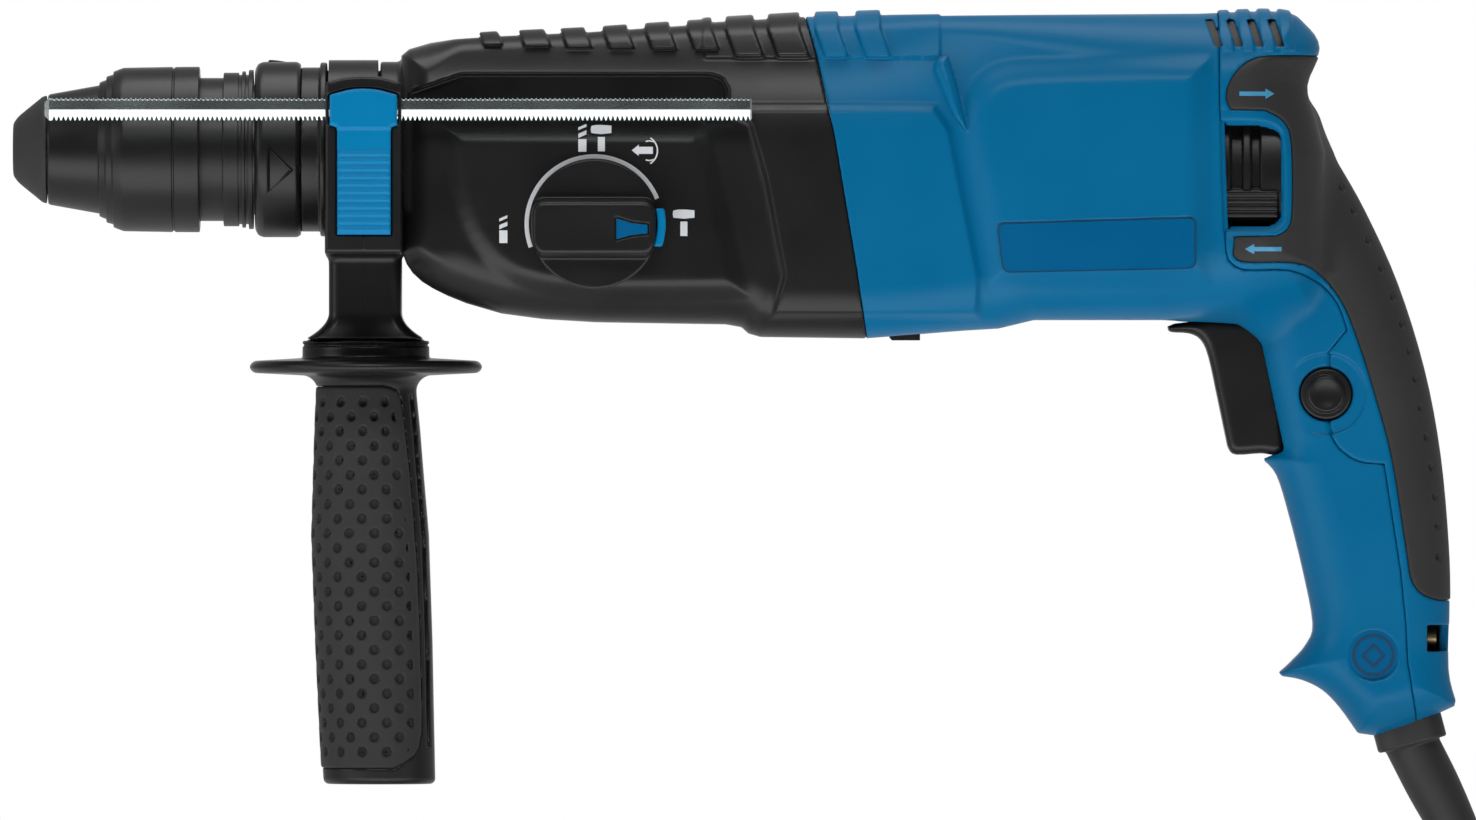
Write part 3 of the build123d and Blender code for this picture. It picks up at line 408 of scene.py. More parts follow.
BARREL_BACK = curve([(-43, 118.6), (-20, 119.2), (-13, 115.6), (-8.9, 108.6), (-12.7, 98), (-10.6, 89), (-8, 79)])
BARREL_LINE = BARREL_BACK + [
    (-8, 46), (-14, 39), (-30, 33.5), (-52, 31.4), (-90, 31.4), (-100, 29), (-110, 28.4), (-138, 26.2),
    (-168, 26.6), (-171.5, 27.6), (-173.5, 29.4), (-178, 30.2), (-215, 30.8), (-230, 31.7), (-242, 33.3),
    (-252, 36.2), (-257, 38.2), (-261, 40.2), (-264.2, 42.2), (-266.8, 44.6), (-268.6, 47.2), (-269.6, 50),
    (-270.2, 56), (-270.2, 106.5), (-268, 108.4),
    (-262, 110.2), (-255, 111.2), (-243, 112.0), (-217, 113.2), (-190, 115.1), (-155, 117.2), (-130, 117.7),
]
GRIP_REAR = curve([(-15, 88), (-11.4, 88.6), (-8.4, 83.6), (-3.8, 76.2), (4.2, 62), (13.4, 41.5), (21, 17),
                   (25.5, -7), (27.8, -32), (28.3, -50), (28, -68), (30, -77)])
GRIP_FOOT = curve([(29.6, -78.6), (22, -82), (15, -84.8), (7, -87)])
GRIP_HORN = curve([(2.2, -86.3), (-3, -79), (-8, -74), (-14, -71.1), (-19.4, -70.1)])
GRIP_FRONT = curve([(-20.3, -69), (-17, -66), (-12.6, -61), (-10.7, -55), (-13.5, -40), (-17.5, -24),
                    (-21, -12.8), (-25, -8.2)])
GRIP_LINE = GRIP_REAR + GRIP_FOOT + GRIP_HORN + GRIP_FRONT + [
    (-20.8, -5), (-24, 10), (-27, 24), (-31, 32), (-45, 36), (-40, 60), (-30, 76)]

FRONT_SEAM = [(-156, 140), (-155.5, 118.3), (-152, 106), (-147, 83), (-141, 47), (-138, 27), (-137, 10)]
COVER_SEAM = [(-37.8, 140), (-37.8, 91), (-36.8, 60), (-36, 51)] + curve(
    [(-35.4, 48.4), (-31, 45.6), (-18, 45.4), (-9, 41.6), (-4, 36), (-1.2, 28.6)]) + [(-6.6, 22), (-7, 3)] + curve(
    [(-6.4, 0), (-3.6, -5), (2, -8.8), (9.3, -9.7)]) + [(12, -27), (14, -40), (15.5, -55), (16, -66), (21.5, -100)]
SOFT_LINE = curve([(-9, 106.4), (-24, 106.2), (-30.4, 104.2), (-34.6, 99.6), (-36, 94.6), (-34.6, 91)]) + curve(
    [(-25, 90.8), (-19.6, 87.6), (-17.4, 81), (-17.2, 63), (-18.5, 57.2), (-22, 55.1)]) + [(-33.6, 54.8)] + curve(
    [(-34, 50), (-31, 47.8), (-17, 47.6), (-10, 45), (-3, 37), (2, 25), (7, 9), (11.5, -8), (15.6, -34),
     (17, -42.4), (20, -46.6), (24.6, -48.4)]) + [(40, -48.4), (60, 20), (40, 90), (0, 106.4)]

RIB_SPOTS = [
    # front and rear edge at the top, and how far down the side it runs
    (-248.5, -243.0, 109.5), (-237.0, -229.5, 109.0), (-225.0, -218.0, 108.6), (-213.0, -206.0, 108.4),
    (-201.0, -194.0, 108.2), (-189.0, -182.0, 108.0), (-178.0, -170.0, 106.0), (-166.0, -157.0, 106.0),
    (-152.6, -146.0, 106.0), (-141.0, -134.0, 106.0),
]
KNOB_PANEL = curve([(-186, 85.6), (-182.4, 81), (-178, 62), (-174, 45), (-172, 38.5)], 2) + curve(
    [(-214, 37.4), (-230, 40), (-241, 44.5), (-248.5, 52), (-253.5, 63), (-256.6, 80), (-257, 86)], 3)
REAR_PANEL = [(-187, 95.6), (-116.5, 95.6), (-110.5, 86.5), (-102, 44), (-102.6, 28.5), (-170, 28.5), (-165.5, 44),
              (-170.5, 70), (-174.5, 84.5), (-181, 87)]
SIDE_PAD = curve([(-109.6, 86), (-108.3, 94), (-105, 99.4), (-99, 102.6), (-90, 103.6)], 3) + [
    (-41.6, 104.6), (-41.6, 43), (-60, 42.6), (-101.5, 43), (-104.6, 60)]
BLADE = [(-119.0, 102.5), (-117.6, 105.4), (-115.2, 106.2), (-113.2, 100), (-109.4, 84.5), (-113.6, 89.5)]
LABEL = [(-101, 58.8), (-44.6, 60.5), (-44.6, 45.8), (-99.4, 44.6)]
WINDOW = (-36.2, -20.4, 59.2, 85.2)
FRAME_OUT = curve([(-50, 91.2), (-26, 91), (-20, 87.6), (-17.6, 81), (-17.4, 63), (-18.8, 57.2), (-22.6, 55)], 3) + [
    (-50, 54.8)]
SHELF_CUT = [(-275, 94.6), (-268.5, 95.4), (-252.5, 100.9), (-182.6, 100.9), (-179, 99.6), (-177.4, 96.6),
             (-177.4, 86.6), (-275, 86.6)]
TRIGGER_GAP = [(-53.2, 27), (-53.2, 33.2), (-40, 34.6), (-14, 34.6), (-14, -6.4), (-21.3, -6.8), (-27, -9), (-60, -9)]
PAD_RISE, BLADE_RISE, PANEL_RISE, RIB_RISE = 3.3, 3.2, 1.9, 1.55
PANEL_SLOPE = 5.0
VENT_PITCH = 5.85
VENT_STARTS = [-39.0 + VENT_PITCH * n for n in range(4)]
VENT_DEPTH = 2.0
LATCH_POCKET = (-131.5, -122.5, 20, 33)
SCREW_POCKET = (21.6, 40, -63, -55.4)
EMBLEM_X, EMBLEM_Z = 6.3, -64
BUTTON_WELL, BUTTON_HOLE = 11.4, 7.6


def section(x, y, z):
    """The barrel's cross section: an oval crown over flat sides, fuller at the rear."""
    crown = CROWN + 48 * ease((x + 150) / 100)
    return (np.sqrt((y / HALF) ** 2 + (np.maximum(z - AXIS_Z, 0) / crown) ** 2) - 1) * HALF


def barrel_form(x, y, z):
    r = 4 + 10 * ease((78 - z) / 26)
    r = r + (20 - r) * ease((x + 130) / 96)
    r = r + (9 - r) * ease((-252 - x) / 12)
    line, across = outline(x, z, BARREL_LINE), section(x, y, z)
    chamfer = (line + across + 7.4 * ease((-150 - x) / 20) * ease((60 - z) / 14)) * ROOT_HALF
    return both(both(line, across, r), chamfer, 1.5)


def grip_form(x, y, z):
    flare = 2.2 * ease((-62 - z) / 16)
    return both(outline(x, z, GRIP_LINE), slab(y, GRIP_HALF) - flare, 13.5)


def joined(bare, x, y, z):
    """The barrel with the grip flowing out of it."""
    return either(bare, grip_form(x, y, z), 4 + 7 * ease((4 - x) / 30))


def whole_form(x, y, z):
    """The casing without its small features."""
    return joined(barrel_form(x, y, z), x, y, z)


def ring_form(x, y, z, x0, x1, radius, edge=0.5):
    return both(np.hypot(y, z - AXIS_Z) - radius, slab(x - (x0 + x1) / 2, (x1 - x0) / 2), edge)


def ribbed(x, z, form, ribs):
    """Low ribs that wrap over the crown."""
    for x0, x1, low in ribs:
        lean = (115 - low) * 0.32
        strip = outline(x, z, [(x0, 130), (x1, 130), (x1, 114), (x1 + lean, low), (x0 + lean, low), (x0, 114)])
        form = either(form, both(strip, form - RIB_RISE, 0.7), 0.5)
    return form


def casing(x, y, z, part):
    """The outer face of the whole casing; part chooses which features are worked out."""
    bare = form = barrel_form(x, y, z)
    if part != "gear":
        form = joined(bare, x, y, z)
        form = either(form, both(outline(x, z, SIDE_PAD), bare - PAD_RISE, 6.0), 3.5)
        form = either(form, bevelled(outline(x, z, BLADE), bare - BLADE_RISE, 1.4), 0.2)
    if part != "cover":
        form = either(form, bevelled(outline(x, z, REAR_PANEL), bare - PANEL_RISE, PANEL_SLOPE), 0.6)
        form = either(form, both(rect(x, z, -184, -117, 105.6, 130), bare - 0.5, 0.4), 0.3)
        form = ribbed(x, z, form, RIB_SPOTS[8:] if part == "motor" else RIB_SPOTS[:9])
    if part == "gear":
        form = either(form, both(outline(x, z, KNOB_PANEL), bare - PANEL_RISE, PANEL_SLOPE), 2.4)
        floor_y = 31.0 + 1.25 * np.maximum(93 - z, 0)
        form = cut(form, both(outline(x, z, SHELF_CUT), -slab(y, floor_y)), 1.1)
        neck = either(ring_form(x, y, z, -298.96, -293, 23.4, 0.1), ring_form(x, y, z, -293.5, -291.5, 24.8))
        neck = either(neck, ring_form(x, y, z, -292, -274, 22.4))
        neck = either(neck, ring_form(x, y, z, -276.3, -255, 25), 0.3)
        form = either(form, neck, 1.6)
    if part == "cover":
        for start in VENT_STARTS + [VENT_STARTS[-1] + VENT_PITCH, VENT_STARTS[0] - VENT_PITCH]:
            bump = outline(x, z, [(start - 6.2, 130), (start - 2.6, 130), (start - 0.6, 107.6), (start - 4.2, 107.6)])
            form = either(form, both(bump, bare - 0.8, 0.5), 0.4)
    return form


def hollowed(form):
    """The casing's shell: its inside removed."""
    return cut(form, form + WALL)


def button_opening(form, x, y, z):
    """The form with the lock-on button's round well and hole."""
    form = cut(form, both(disc(x, z, BUTTON_X, BUTTON_Z, BUTTON_WELL), 15.9 + y, 0.2), 0.5)
    return cut(form, both(disc(x, z, BUTTON_X, BUTTON_Z, BUTTON_HOLE), y + 8), 0.2)


def vent_line(start, grow=0.0):
    """The outline of one slanting air slot."""
    return [(start - grow, 108.9 - grow), (start + 2.2 + grow, 108.9 - grow), (start - 0.4 + grow, 116.6 + grow),
            (start - 2.6 - grow, 116.6 + grow)]


def seam_front(x, z):
    return outline(x, z, FRONT_SEAM + [(-330, 10), (-330, 140)])


def seam_cover(x, z):
    return outline(x, z, COVER_SEAM + [(80, -100), (80, 140)])


def soft_area(x, z):
    return outline(x, z, SOFT_LINE)


# --- gear housing
def gear_shell(x, y, z):
    form = both(hollowed(casing(x, y, z, "gear")), seam_front(x, z) + GAP, 0.3)
    form = cut(form, np.hypot(y, z - AXIS_Z) - 18.9)
    hole = both(disc(x, z, KNOB_X, KNOB_Z, 5.5), y + 30)
    return cut(form, hole)


mould("gear_shell", gear_shell, (-299, -42, 25), (-137, 42, 120), 0.62, "casing", "black_plastic",
      "gear_housing")


# --- motor housing
def motor_shell(x, y, z):
    outer = cut(casing(x, y, z, "motor"), both(outline(x, z, LABEL) + 0.2, 40.0 + y))
    tongue = (LIP + GAP) * ease((-1.1 - outer) / 0.5)
    form = cut(hollowed(outer), seam_front(x, z) - GAP, 0.3)
    form = cut(form, both(outline(x, z, vent_line(VENT_STARTS[0])), -VENT_DEPTH - outer), 0.2)
    form = cut(form, seam_cover(x, z) - GAP + tongue, 0.2)
    form = cut(form, both(outline(x, z, TRIGGER_GAP), slab(y, 9.2), 1.0), 0.5)
    form = cut(form, both(rect(x, z, *LATCH_POCKET), slab(y, 20)), 0.2)
    form = button_opening(form, x, y, z)
    return cut(form, both(disc(x, z, EMBLEM_X, EMBLEM_Z, 7.2), 16.4 + y, 0.1), 0.15)


mould("motor_shell", motor_shell, (-157, -42, -88), (31, 42, 120), 0.66, "casing", "blue_plastic",
      "motor_housing")


# --- handle cover and its soft skin
def cover_shell(x, y, z):
    bare = casing(x, y, z, "cover")
    outer = cut(bare, both(outline(x, z, FRAME_OUT), 36.9 + y, 0.5), 0.8)
    tongue = (LIP + 2 * GAP) * ease((-0.9 - outer) / 0.5)
    form = both(hollowed(outer), seam_cover(x, z) + GAP + tongue, 0.2)
    form = cut(form, both(soft_area(x, z) - GAP, -1.7 - bare))
    x0, x1, z0, z1 = WINDOW
    slope = 0.9 * np.maximum(slab(y, 33.5), 0)
    hole = rect(x, z, x0 - 3, x1, z0, z1, 2.5) - slope
    form = cut(form, both(hole, 22 + y), 0.6)
    for start in VENT_STARTS:
        form = cut(form, both(outline(x, z, vent_line(start)), -VENT_DEPTH - bare), 0.2)
    form = button_opening(form, x, y, z)
    return cut(form, both(rect(x, z, *SCREW_POCKET), y - 1), 0.3)


mould("cover_shell", cover_shell, (-39, -41, -88), (31, 41, 121), 0.6, "casing", "blue_plastic", "handle_cover")

SKIN_LIFT = 0.25
DENT_RADIUS = 1.25
DENT_SPOTS = curve([(-2.4, 69), (5, 54), (12, 38), (16.7, 22.5), (20, 6.5), (23, -10.5), (24.7, -27),
                    (25.3, -43)], 2)[:-1]


def soft_plain(x, y, z):
    form = whole_form(x, y, z)
    outer = both(form - SKIN_LIFT, soft_area(x, z), 0.9)
    return cut(outer, form + 1.5)


def dent_places():
    """Where the skin's small dents lie: down both rear edges and between them."""
    places = []
    ys = np.linspace(-40, 0, 400)
    for dx, dz in DENT_SPOTS:
        for px, pz in ((dx, dz), (dx + 3.1, dz - 0.5 * 3.1 + 3.9)):
            values = whole_form(px, ys, pz) - SKIN_LIFT
            crossing = np.nonzero(values < 0)[0]
            if len(crossing):
                depth = ys[crossing[0]]
                places += [(px, depth - 0.1, pz), (px, -depth + 0.1, pz)]
    return places


DENTS = dent_places()


def soft_skin(x, y, z):
    return dents(soft_plain(x, y, z), x, y, z, DENTS, DENT_RADIUS)


mould("soft_skin", soft_skin, (-37, -41, -50), (30, 41, 108), 0.56, "casing", "black_rubber", "soft_grip")


# --- direction lever
def lever(x, y, z):
    away = np.hypot(y, z - MOTOR_Z)
    band = both(slab(away - 31.4, 2.0), slab(x + 33.2, 13.6), 0.4)
    side = both(both(band, slab(z - 71.5, 21), 0.2), y + 8)
    for start, wide in ((-40.8, 3.6), (-34.6, 3.4), (-28.8, 2.6)):
        side = cut(side, both(rect(x, z, start, start + wide, 68.4, 87), 31.2 - away), 0.3)
    thumb = both(slab(away - 33.2, 2.6), rect(x, z, -46.0, -21.2, 60.2, 67.4), 0.5)
    thumb = both(thumb, y + 8)
    for level in (61.9, 63.8, 65.7):
        thumb = cut(thumb, both(slab(z - level, 0.42), 35.0 - away), 0.3)
    return either(side, thumb, 0.4)


mould("lever", lever, (-47, -37, 49), (-20.5, -18, 94), 0.42, "brush_gear", "black_plastic", "direction_lever")


# --- trigger and lock-on button
TRIGGER_HALF = 8.5
TRIGGER_LINE = curve([(-52, 29.6), (-51.2, 28), (-46, 27.6), (-42.6, 25.8), (-40.4, 21), (-38, 10), (-35.6, -1.5),
                      (-34.6, -5.4), (-32.4, -7), (-25.6, -6.6), (-21.4, -7.2)], 3) + [
    (-18.8, -6), (-19.2, 6), (-22, 22), (-26, 31), (-40, 31.6), (-50, 30.4)]


def trigger_form(x, y, z):
    return both(outline(x, z, TRIGGER_LINE), slab(y, TRIGGER_HALF), 2.6)


mould("trigger_paddle", trigger_form, (-53, -9, -8), (-18.5, 9, 32.4), 0.42, "trigger", "black_plastic",
      "trigger")


def button_form(x, y, z):
    away = disc(x, z, BUTTON_X, BUTTON_Z, 0)
    base = both(away - 7.2, slab(y + 14.3, 2.7), 0.5)
    cap = both(away - 5.3, slab(y + 15.0, 3.4), 0.9)
    cap = cut(cap, np.sqrt(away**2 + (y + 30.6) ** 2) - 12.9, 0.3)
    return either(base, cap, 0.3)


mould("button_cap", button_form, (BUTTON_X - BUTTON_HOLE, -18.8, BUTTON_Z - BUTTON_HOLE),
      (BUTTON_X + BUTTON_HOLE, -11.3, BUTTON_Z + BUTTON_HOLE), 0.32, "lock_button", "black_plastic",
      "lock_button")


# --- mode knob
KNOB_RADIUS = 18.4
HANDLE_TOP_Y = -49.2
POINTER_Y = -48.3
POINTER_LINE = [(KNOB_X + a, KNOB_Z - 1.2 + b) for a, b in
                [(6.2, -3.3), (10.6, -2.1), (15.2, -1.6), (15.2, 1.0), (10.6, 1.5), (6.2, 2.9)]]


def knob_form(x, y, z):
    away = disc(x, z, KNOB_X, KNOB_Z, 0)
    base = both(away - KNOB_RADIUS, slab(y + 41.4, 1.8), 0.5)
    handle_line = rect(x, z, KNOB_X - 17.4, KNOB_X + 17.2, KNOB_Z - 8.6, KNOB_Z + 6.2, 3.4)
    lean = 0.16 * (y - HANDLE_TOP_Y)
    handle = both(both(handle_line - lean, slab(y + 45.9, 3.3), 1.2), away - 18.1, 0.8)
    pocket = outline(x, z, POINTER_LINE) - 0.35
    return cut(either(base, handle, 0.7), both(pocket, y - POINTER_Y), 0.15)


mould("knob_body", knob_form, (KNOB_X - 18.8, -49.6, KNOB_Z - 18.8), (KNOB_X + 18.8, -39.3, KNOB_Z + 18.8), 0.36,
      "knob", "black_plastic", "mode_knob")


def pointer_arrow(x, y, z):
    return both(outline(x, z, POINTER_LINE), slab(y - POINTER_Y, 0.35), 0.15)


def pointer_tab(x, y, z):
    away = disc(x, z, KNOB_X, KNOB_Z, 0)
    tab = both(both(away - 20.3, 17.9 - away, 0.2), slab(z - KNOB_Z + 1, 5.4), 0.5)
    return both(both(tab, KNOB_X - x), slab(y + 44.4, 2.8), 0.6)


mould("pointer_arrow", pointer_arrow, (KNOB_X + 5, -49, KNOB_Z - 6), (KNOB_X + 16, -47.6, KNOB_Z + 4), 0.3, "knob",
      "label_blue")
mould("pointer_tab", pointer_tab, (KNOB_X + 15, -47.6, KNOB_Z - 8), (KNOB_X + 21, -41, KNOB_Z + 6), 0.3, "knob",
      "blue_insert", "knob_pointer")


# --- tool holder
turned("nose_cap", [(-381, 5.7, 0.5), (-381, 7.4, 0.8), (-379.6, 9.4, 1.2), (-372.6, 15.1, 1.6), (-371.4, 15.4, 0.4),
                    (-371.4, 10.4, 0.2), (-377, 9.75, 0.2), (-377, 5.7, 0.2)], "spindle", "black_rubber",
       "dust_cap")
turned("sleeve", [(-371, 15.5, 0.3), (-370.4, 15.8, 0.3), (-356.4, 18.3, 0.3), (-356.4, 19.1, 0.25),
                  (-354.4, 19.9, 0.3), (-354.4, 20.8, 0.25), (-352.4, 21.4, 0.3), (-352.4, 22.2, 0.25),
                  (-349.6, 23.3, 0.7),
                  (-335.6, 23.55, 0.1), (-335.4, 23.2, 0.1), (-335.0, 23.2, 0.1), (-334.8, 23.55, 0.1),
                  (-327.8, 23.6, 0.5), (-327.8, 21.1, 0.3), (-345.8, 21.1, 0.3), (-345.8, 16.5, 0.3),
                  (-350, 16.5, 0.3), (-350, 14.3, 0.3), (-371, 14.3, 0.3)], "lock_sleeve", "black_plastic",
       "locking_sleeve")
turned("chuck_ring", [(-331, 20.4, 0.2), (-321, 20.4, 0.2), (-321, 21.9, 0.3), (-316.6, 21.9, 0.2),
                      (-316.6, 21.3, 0.1), (-315.7, 21.3, 0.1), (-315.7, 22.3, 0.2), (-314.7, 22.3, 0.2),
                      (-314.7, 21.3, 0.1), (-313.8, 21.3, 0.1), (-313.8, 22.7, 0.2), (-312.5, 22.7, 0.2),
                      (-312.5, 18.8, 0.1), (-314.0, 18.8, 0.1), (-314.0, 16.1, 0.1), (-331, 16.1, 0.2)],
       "spindle", "black_plastic", "chuck_cover")
CHANGER_RADIUS = 25
turned("changer", [(-312, 22.8, 0.4), (-311.2, 24.4, 0.6), (-309.8, CHANGER_RADIUS, 0.6),
                   (-300, CHANGER_RADIUS, 0.8), (-299, 24.3, 0.4), (-299, 23.7, 0.1), (-309.6, 23.7, 0.2),
                   (-309.6, 18.9, 0.2), (-312, 18.9, 0.2)], "changer", "black_plastic", "changer_ring")


def changer_arrows():
    """Three raised triangles wrapped round the changer ring, pointing to the rear."""
    verts, faces = [], []
    rows = 12
    n = 2 * (rows + 1)
    for turn in range(3):
        base = len(verts)
        middle_angle = pi + 0.245 + turn * 2 * pi / 3
        for inset, rise in ((0.0, 0.02), (0.35, 0.55), (0.95, 0.22)):
            front, tip = -308.4 + inset, -300.7 - 1.6 * inset
            half = 7.2 - 1.5 * inset
            radius = CHANGER_RADIUS + rise
            for step in range(rows + 1):
                share = -1 + 2 * step / rows
                angle = middle_angle + share * half / CHANGER_RADIUS
                back = front + (tip - front) * (1 - abs(share))
                verts += [(x, radius * cos(angle), AXIS_Z + radius * sin(angle)) for x in (front, back)]
        for layer in (base, base + n):
            for i in range(layer, layer + 2 * rows, 2):
                faces += [(i, i + 2, i + 2 + n, i + n), (i + 3, i + 1, i + 1 + n, i + 3 + n)]
        for i in range(base, base + 2 * rows, 2):
            top = i + 2 * n
            faces += [(top, top + 2, top + 3, top + 1), (i + 1, i + 3, i + 2, i)]
    make("changer_arrow", verts, faces, "changer", "black_plastic", smooth=False)


changer_arrows()


# --- side handle
BRACKET_X = -280.6
BOLT_HOLE = 4.1
BRACKET_FRONT = [(-291.4, 50.2), (-291.4, 98.2)] + curve([(-290.6, 98.8), (-286, 100.1), (-280.6, 100.5),
                                                         (-275, 100.1), (-270.6, 98.8)], 2) + [
    (-269.8, 98.2), (-269.8, 50.2)]
BUTTON_LINE = [(-288.0, 55.4), (-288.0, 86), (-290.1, 86.6)] + curve([(-290.1, 95), (-285, 96.4), (-280.6, 96.8),
                                                                    (-276, 96.4), (-271.0, 95)], 2) + [
    (-271.0, 86.6), (-272.8, 86), (-272.8, 55.4)]


def bracket_form(x, y, z):
    across = np.abs(x - BRACKET_X)
    axis = np.hypot(x - GRIP_X, y)
    block_part = both(outline(x, z, BRACKET_FRONT), slab(y + 43.4, 6.9), 1.1)
    shoulder = both(rect(x, z, -291.2, -270, 50.4, 62), slab(y + 28, 17), 1.2)
    foot = np.clip((33.5 - z) / 8, 0, 1) ** 2
    stem = both(both(across - (10.3 + 7.4 * foot), slab(y, 14.8 + 2.6 * foot), 3.5), slab(z - 45.9, 19.9), 0.5)
    form = either(either(block_part, shoulder, 1.0), stem, 3.0)
    for hole, edge in (
            (both(np.hypot(y, z - AXIS_Z) - 25.8, across - 30), 0.4),
            (both(outline(x, z, BUTTON_LINE) - 0.3, 46.0 + y, 0.3), 0.3),
            (both(both(slab(y + 43, 4.2), slab(z - 91, 3.9), 0.5), across - 30), 0.3),
            (both(both(slab(x + 284, 7.9), slab(y, 7.3)), slab(z - 52, 6.5)), 0),
            (both(axis - 7.4, slab(z - 50, 9.8)), 0),
            (axis - BOLT_HOLE, 0),
            (both(both(across - 0.12, slab(z - 48, 14)), 14.7 + y), 0.15)):
        form = cut(form, hole, edge)
    return form


mould("bracket", bracket_form, (-299, -51, 25.5), (-262, 18, 101.2), 0.5, "side_handle", "black_plastic",
      "handle_bracket")


def rod_button_form(x, y, z):
    line = outline(x, z, BUTTON_LINE)
    upper = both(both(line, 85.4 - z, 0.3), slab(y + 50.2, 1.75), 1.0)
    lower = both(both(line, z - 86.4, 0.3), slab(y + 50.0, 1.55), 0.6)
    steps = both(slab(np.mod(z - 55.9, 2.15) - 1.07, 0.62), rect(x, z, -287.8, -273, 55.8, 79.3))
    return either(either(upper, lower, 0.8), both(steps, slab(y + 50.6, 1.25), 0.3), 0.2)


mould("rod_catch", rod_button_form, (-290.6, -52.4, 55), (-270.6, -47.4, 97.2), 0.32, "rod_button", "blue_insert",
      "rod_button")

# The side grip's front and rear edges, at these depths below z = 0.
GRIP_DEPTHS = [-14, -10, 0, 10, 30, 60, 90, 100]
GRIP_LEFT = [-294.2, -294.4, -294.8, -295.1, -295.7, -294.6, -293.2, -292.6]
GRIP_RIGHT = [-266.2, -266.0, -265.0, -264.2, -262.5, -261.5, -260.9, -260.7]
PAD_LINE = curve([(-275.4, 12.5), (-272.4, 11.6), (-270.6, 8.6), (-268.2, -10), (-265.8, -40), (-264.8, -70),
                  (-264.6, -86), (-266.6, -92.6), (-272.4, -96.2)], 2) + [(-320, -96.2), (-320, 12.5)]


def side_body(x, y, z):
    """The side grip's rounded body, as a signed distance."""
    left, right = np.interp(-z, GRIP_DEPTHS, GRIP_LEFT), np.interp(-z, GRIP_DEPTHS, GRIP_RIGHT)
    cx, half = (left + right) / 2, (right - left) / 2
    return (np.sqrt(((x - cx) / half) ** 2 + (y / (half - 0.9)) ** 2) - 1) * half


RIM_RADIUS = 33.2
COLLAR_RADIUS = 18.1


def grip_core_form(x, y, z):
    skin = side_body(x, y, z)
    body = both(skin, slab(z + 42.4, 58.4), 1.6)
    axis = np.hypot(x - GRIP_X, y)
    rim_top = z - 20.6 + 0.06 * np.maximum(axis - 18, 0)
    rim_low = 15.4 - z + 0.05 * np.maximum(axis - 14, 0)
    rim = both(axis - RIM_RADIUS, both(rim_top, rim_low, 0.1), 2.1)
    collar = both(axis - COLLAR_RADIUS, slab(z - 22.8, 2.7), 0.5)
    collar = np.minimum(collar, both(axis - 16.6, slab(z - 23, 2.95), 0.1))
    form = either(either(body, rim, 4.5), collar, 0.5)
    form = cut(form, both(slab(axis - 18.2, 0.5), slab(z - 24.2, 0.35)), 0.1)
    pad = both(outline(x, z, PAD_LINE) - 0.05, y - 7.05)
    form = cut(form, both(both(pad, -1.62 - skin), z - 15))
    rail = both(slab(x - np.interp(-z, GRIP_DEPTHS, GRIP_RIGHT) + 1.7, 0.35), slab(z + 40, 50))
    form = cut(form, both(both(rail, y + 1), -0.7 - skin), 0.4)
    return cut(form, both(axis - BOLT_HOLE, -20 - z))


mould("grip_body", grip_core_form, (-314, -34, -101.2), (-246.5, 34, 25.9), 0.5, "side_grip", "black_plastic",
      "grip_core")

DIMPLE_ROW = 4.15
DIMPLE_ROWS = 24
DIMPLE_LOW = -91.5
DIMPLE_RADIUS = 1.4
PAD_RADIUS = 15.8
PAD_AXIS_X = -278.5
DIMPLE_TURN = radians(26.4)


def grip_pad_form(x, y, z):
    body = side_body(x, y, z)
    border = outline(x, z, PAD_LINE)
    form = cut(both(both(body - 0.45, border, 0.8), y - 7, 0.6), body + 1.6)
    row = np.round((z - DIMPLE_LOW) / DIMPLE_ROW)
    dz = z - DIMPLE_LOW - row * DIMPLE_ROW
    turn = (np.arctan2(x - PAD_AXIS_X, -y) + 0.19) / DIMPLE_TURN + 0.5 * np.mod(row, 2)
    du = (turn - np.round(turn)) * DIMPLE_TURN * PAD_RADIUS
    ball = np.sqrt(du**2 + dz**2 + (body - 0.15) ** 2) - DIMPLE_RADIUS
    ball = np.where((row >= 0) & (row <= DIMPLE_ROWS), ball, 9.0)
    return cut(form, np.maximum(ball, border + 2.2), 0.3)


mould("grip_skin", grip_pad_form, (-297, -17.5, -97), (-262, 8, 13.2), 0.42, "side_grip", "black_rubber",
      "grip_pad")

# --- depth rod
ROD_LOW, ROD_HIGH = span("depth_rod")
_, ROD_Y, ROD_Z = middle("depth_rod")
TOOTH = 1.32


def depth_rod():
    """A six-sided bar with fine teeth along its top and bottom, and bevelled ends."""
    stations = [(ROD_LOW[0], 0.62, 0), (ROD_LOW[0] + 1.3, 1.0, 0)]
    x = ROD_LOW[0] + 2.2
    while x < ROD_HIGH[0] - 1.6:
        stations += [(x, 1.0, 0), (x + 0.36, 1.0, 1), (x + 0.66, 1.0, 1), (x + 1.02, 1.0, 0)]
        x += TOOTH
    stations += [(ROD_HIGH[0] - 0.5, 1.0, 0), (ROD_HIGH[0], 0.86, 0)]
    verts = []
    for x, size, notch in stations:
        top, low = 3.15 - 0.5 * notch, -3.15 + 0.95 * notch
        ring = [(-3.35, -0.05), (-3.3, -0.3), (-2.84, -2.0), (-2.55, low), (1.5, low), (3.35, 0), (2.2, top),
                (-3.2, top), (-3.32, 2.55)]
        verts += [(x, ROD_Y + size * dy, ROD_Z + size * dz) for dy, dz in ring]
    n = len(ring)
    faces = [(s * n + i, s * n + (i + 1) % n, (s + 1) * n + (i + 1) % n, (s + 1) * n + i)
             for s in range(len(stations) - 1) for i in range(n)]
    faces += [tuple(reversed(range(n))), tuple(range(len(verts) - n, len(verts)))]
    make("rod", verts, faces, "depth_rod", "zinc_steel", "depth_rod", smooth=False)


depth_rod()


# --- printed marks
def bar(x0, x1, z0, z1, lean=0.0):
    """A printed bar with its right end higher by the lean."""
    return [(x0, z0), (x1, z0 + lean), (x1, z1 + lean), (x0, z1)]


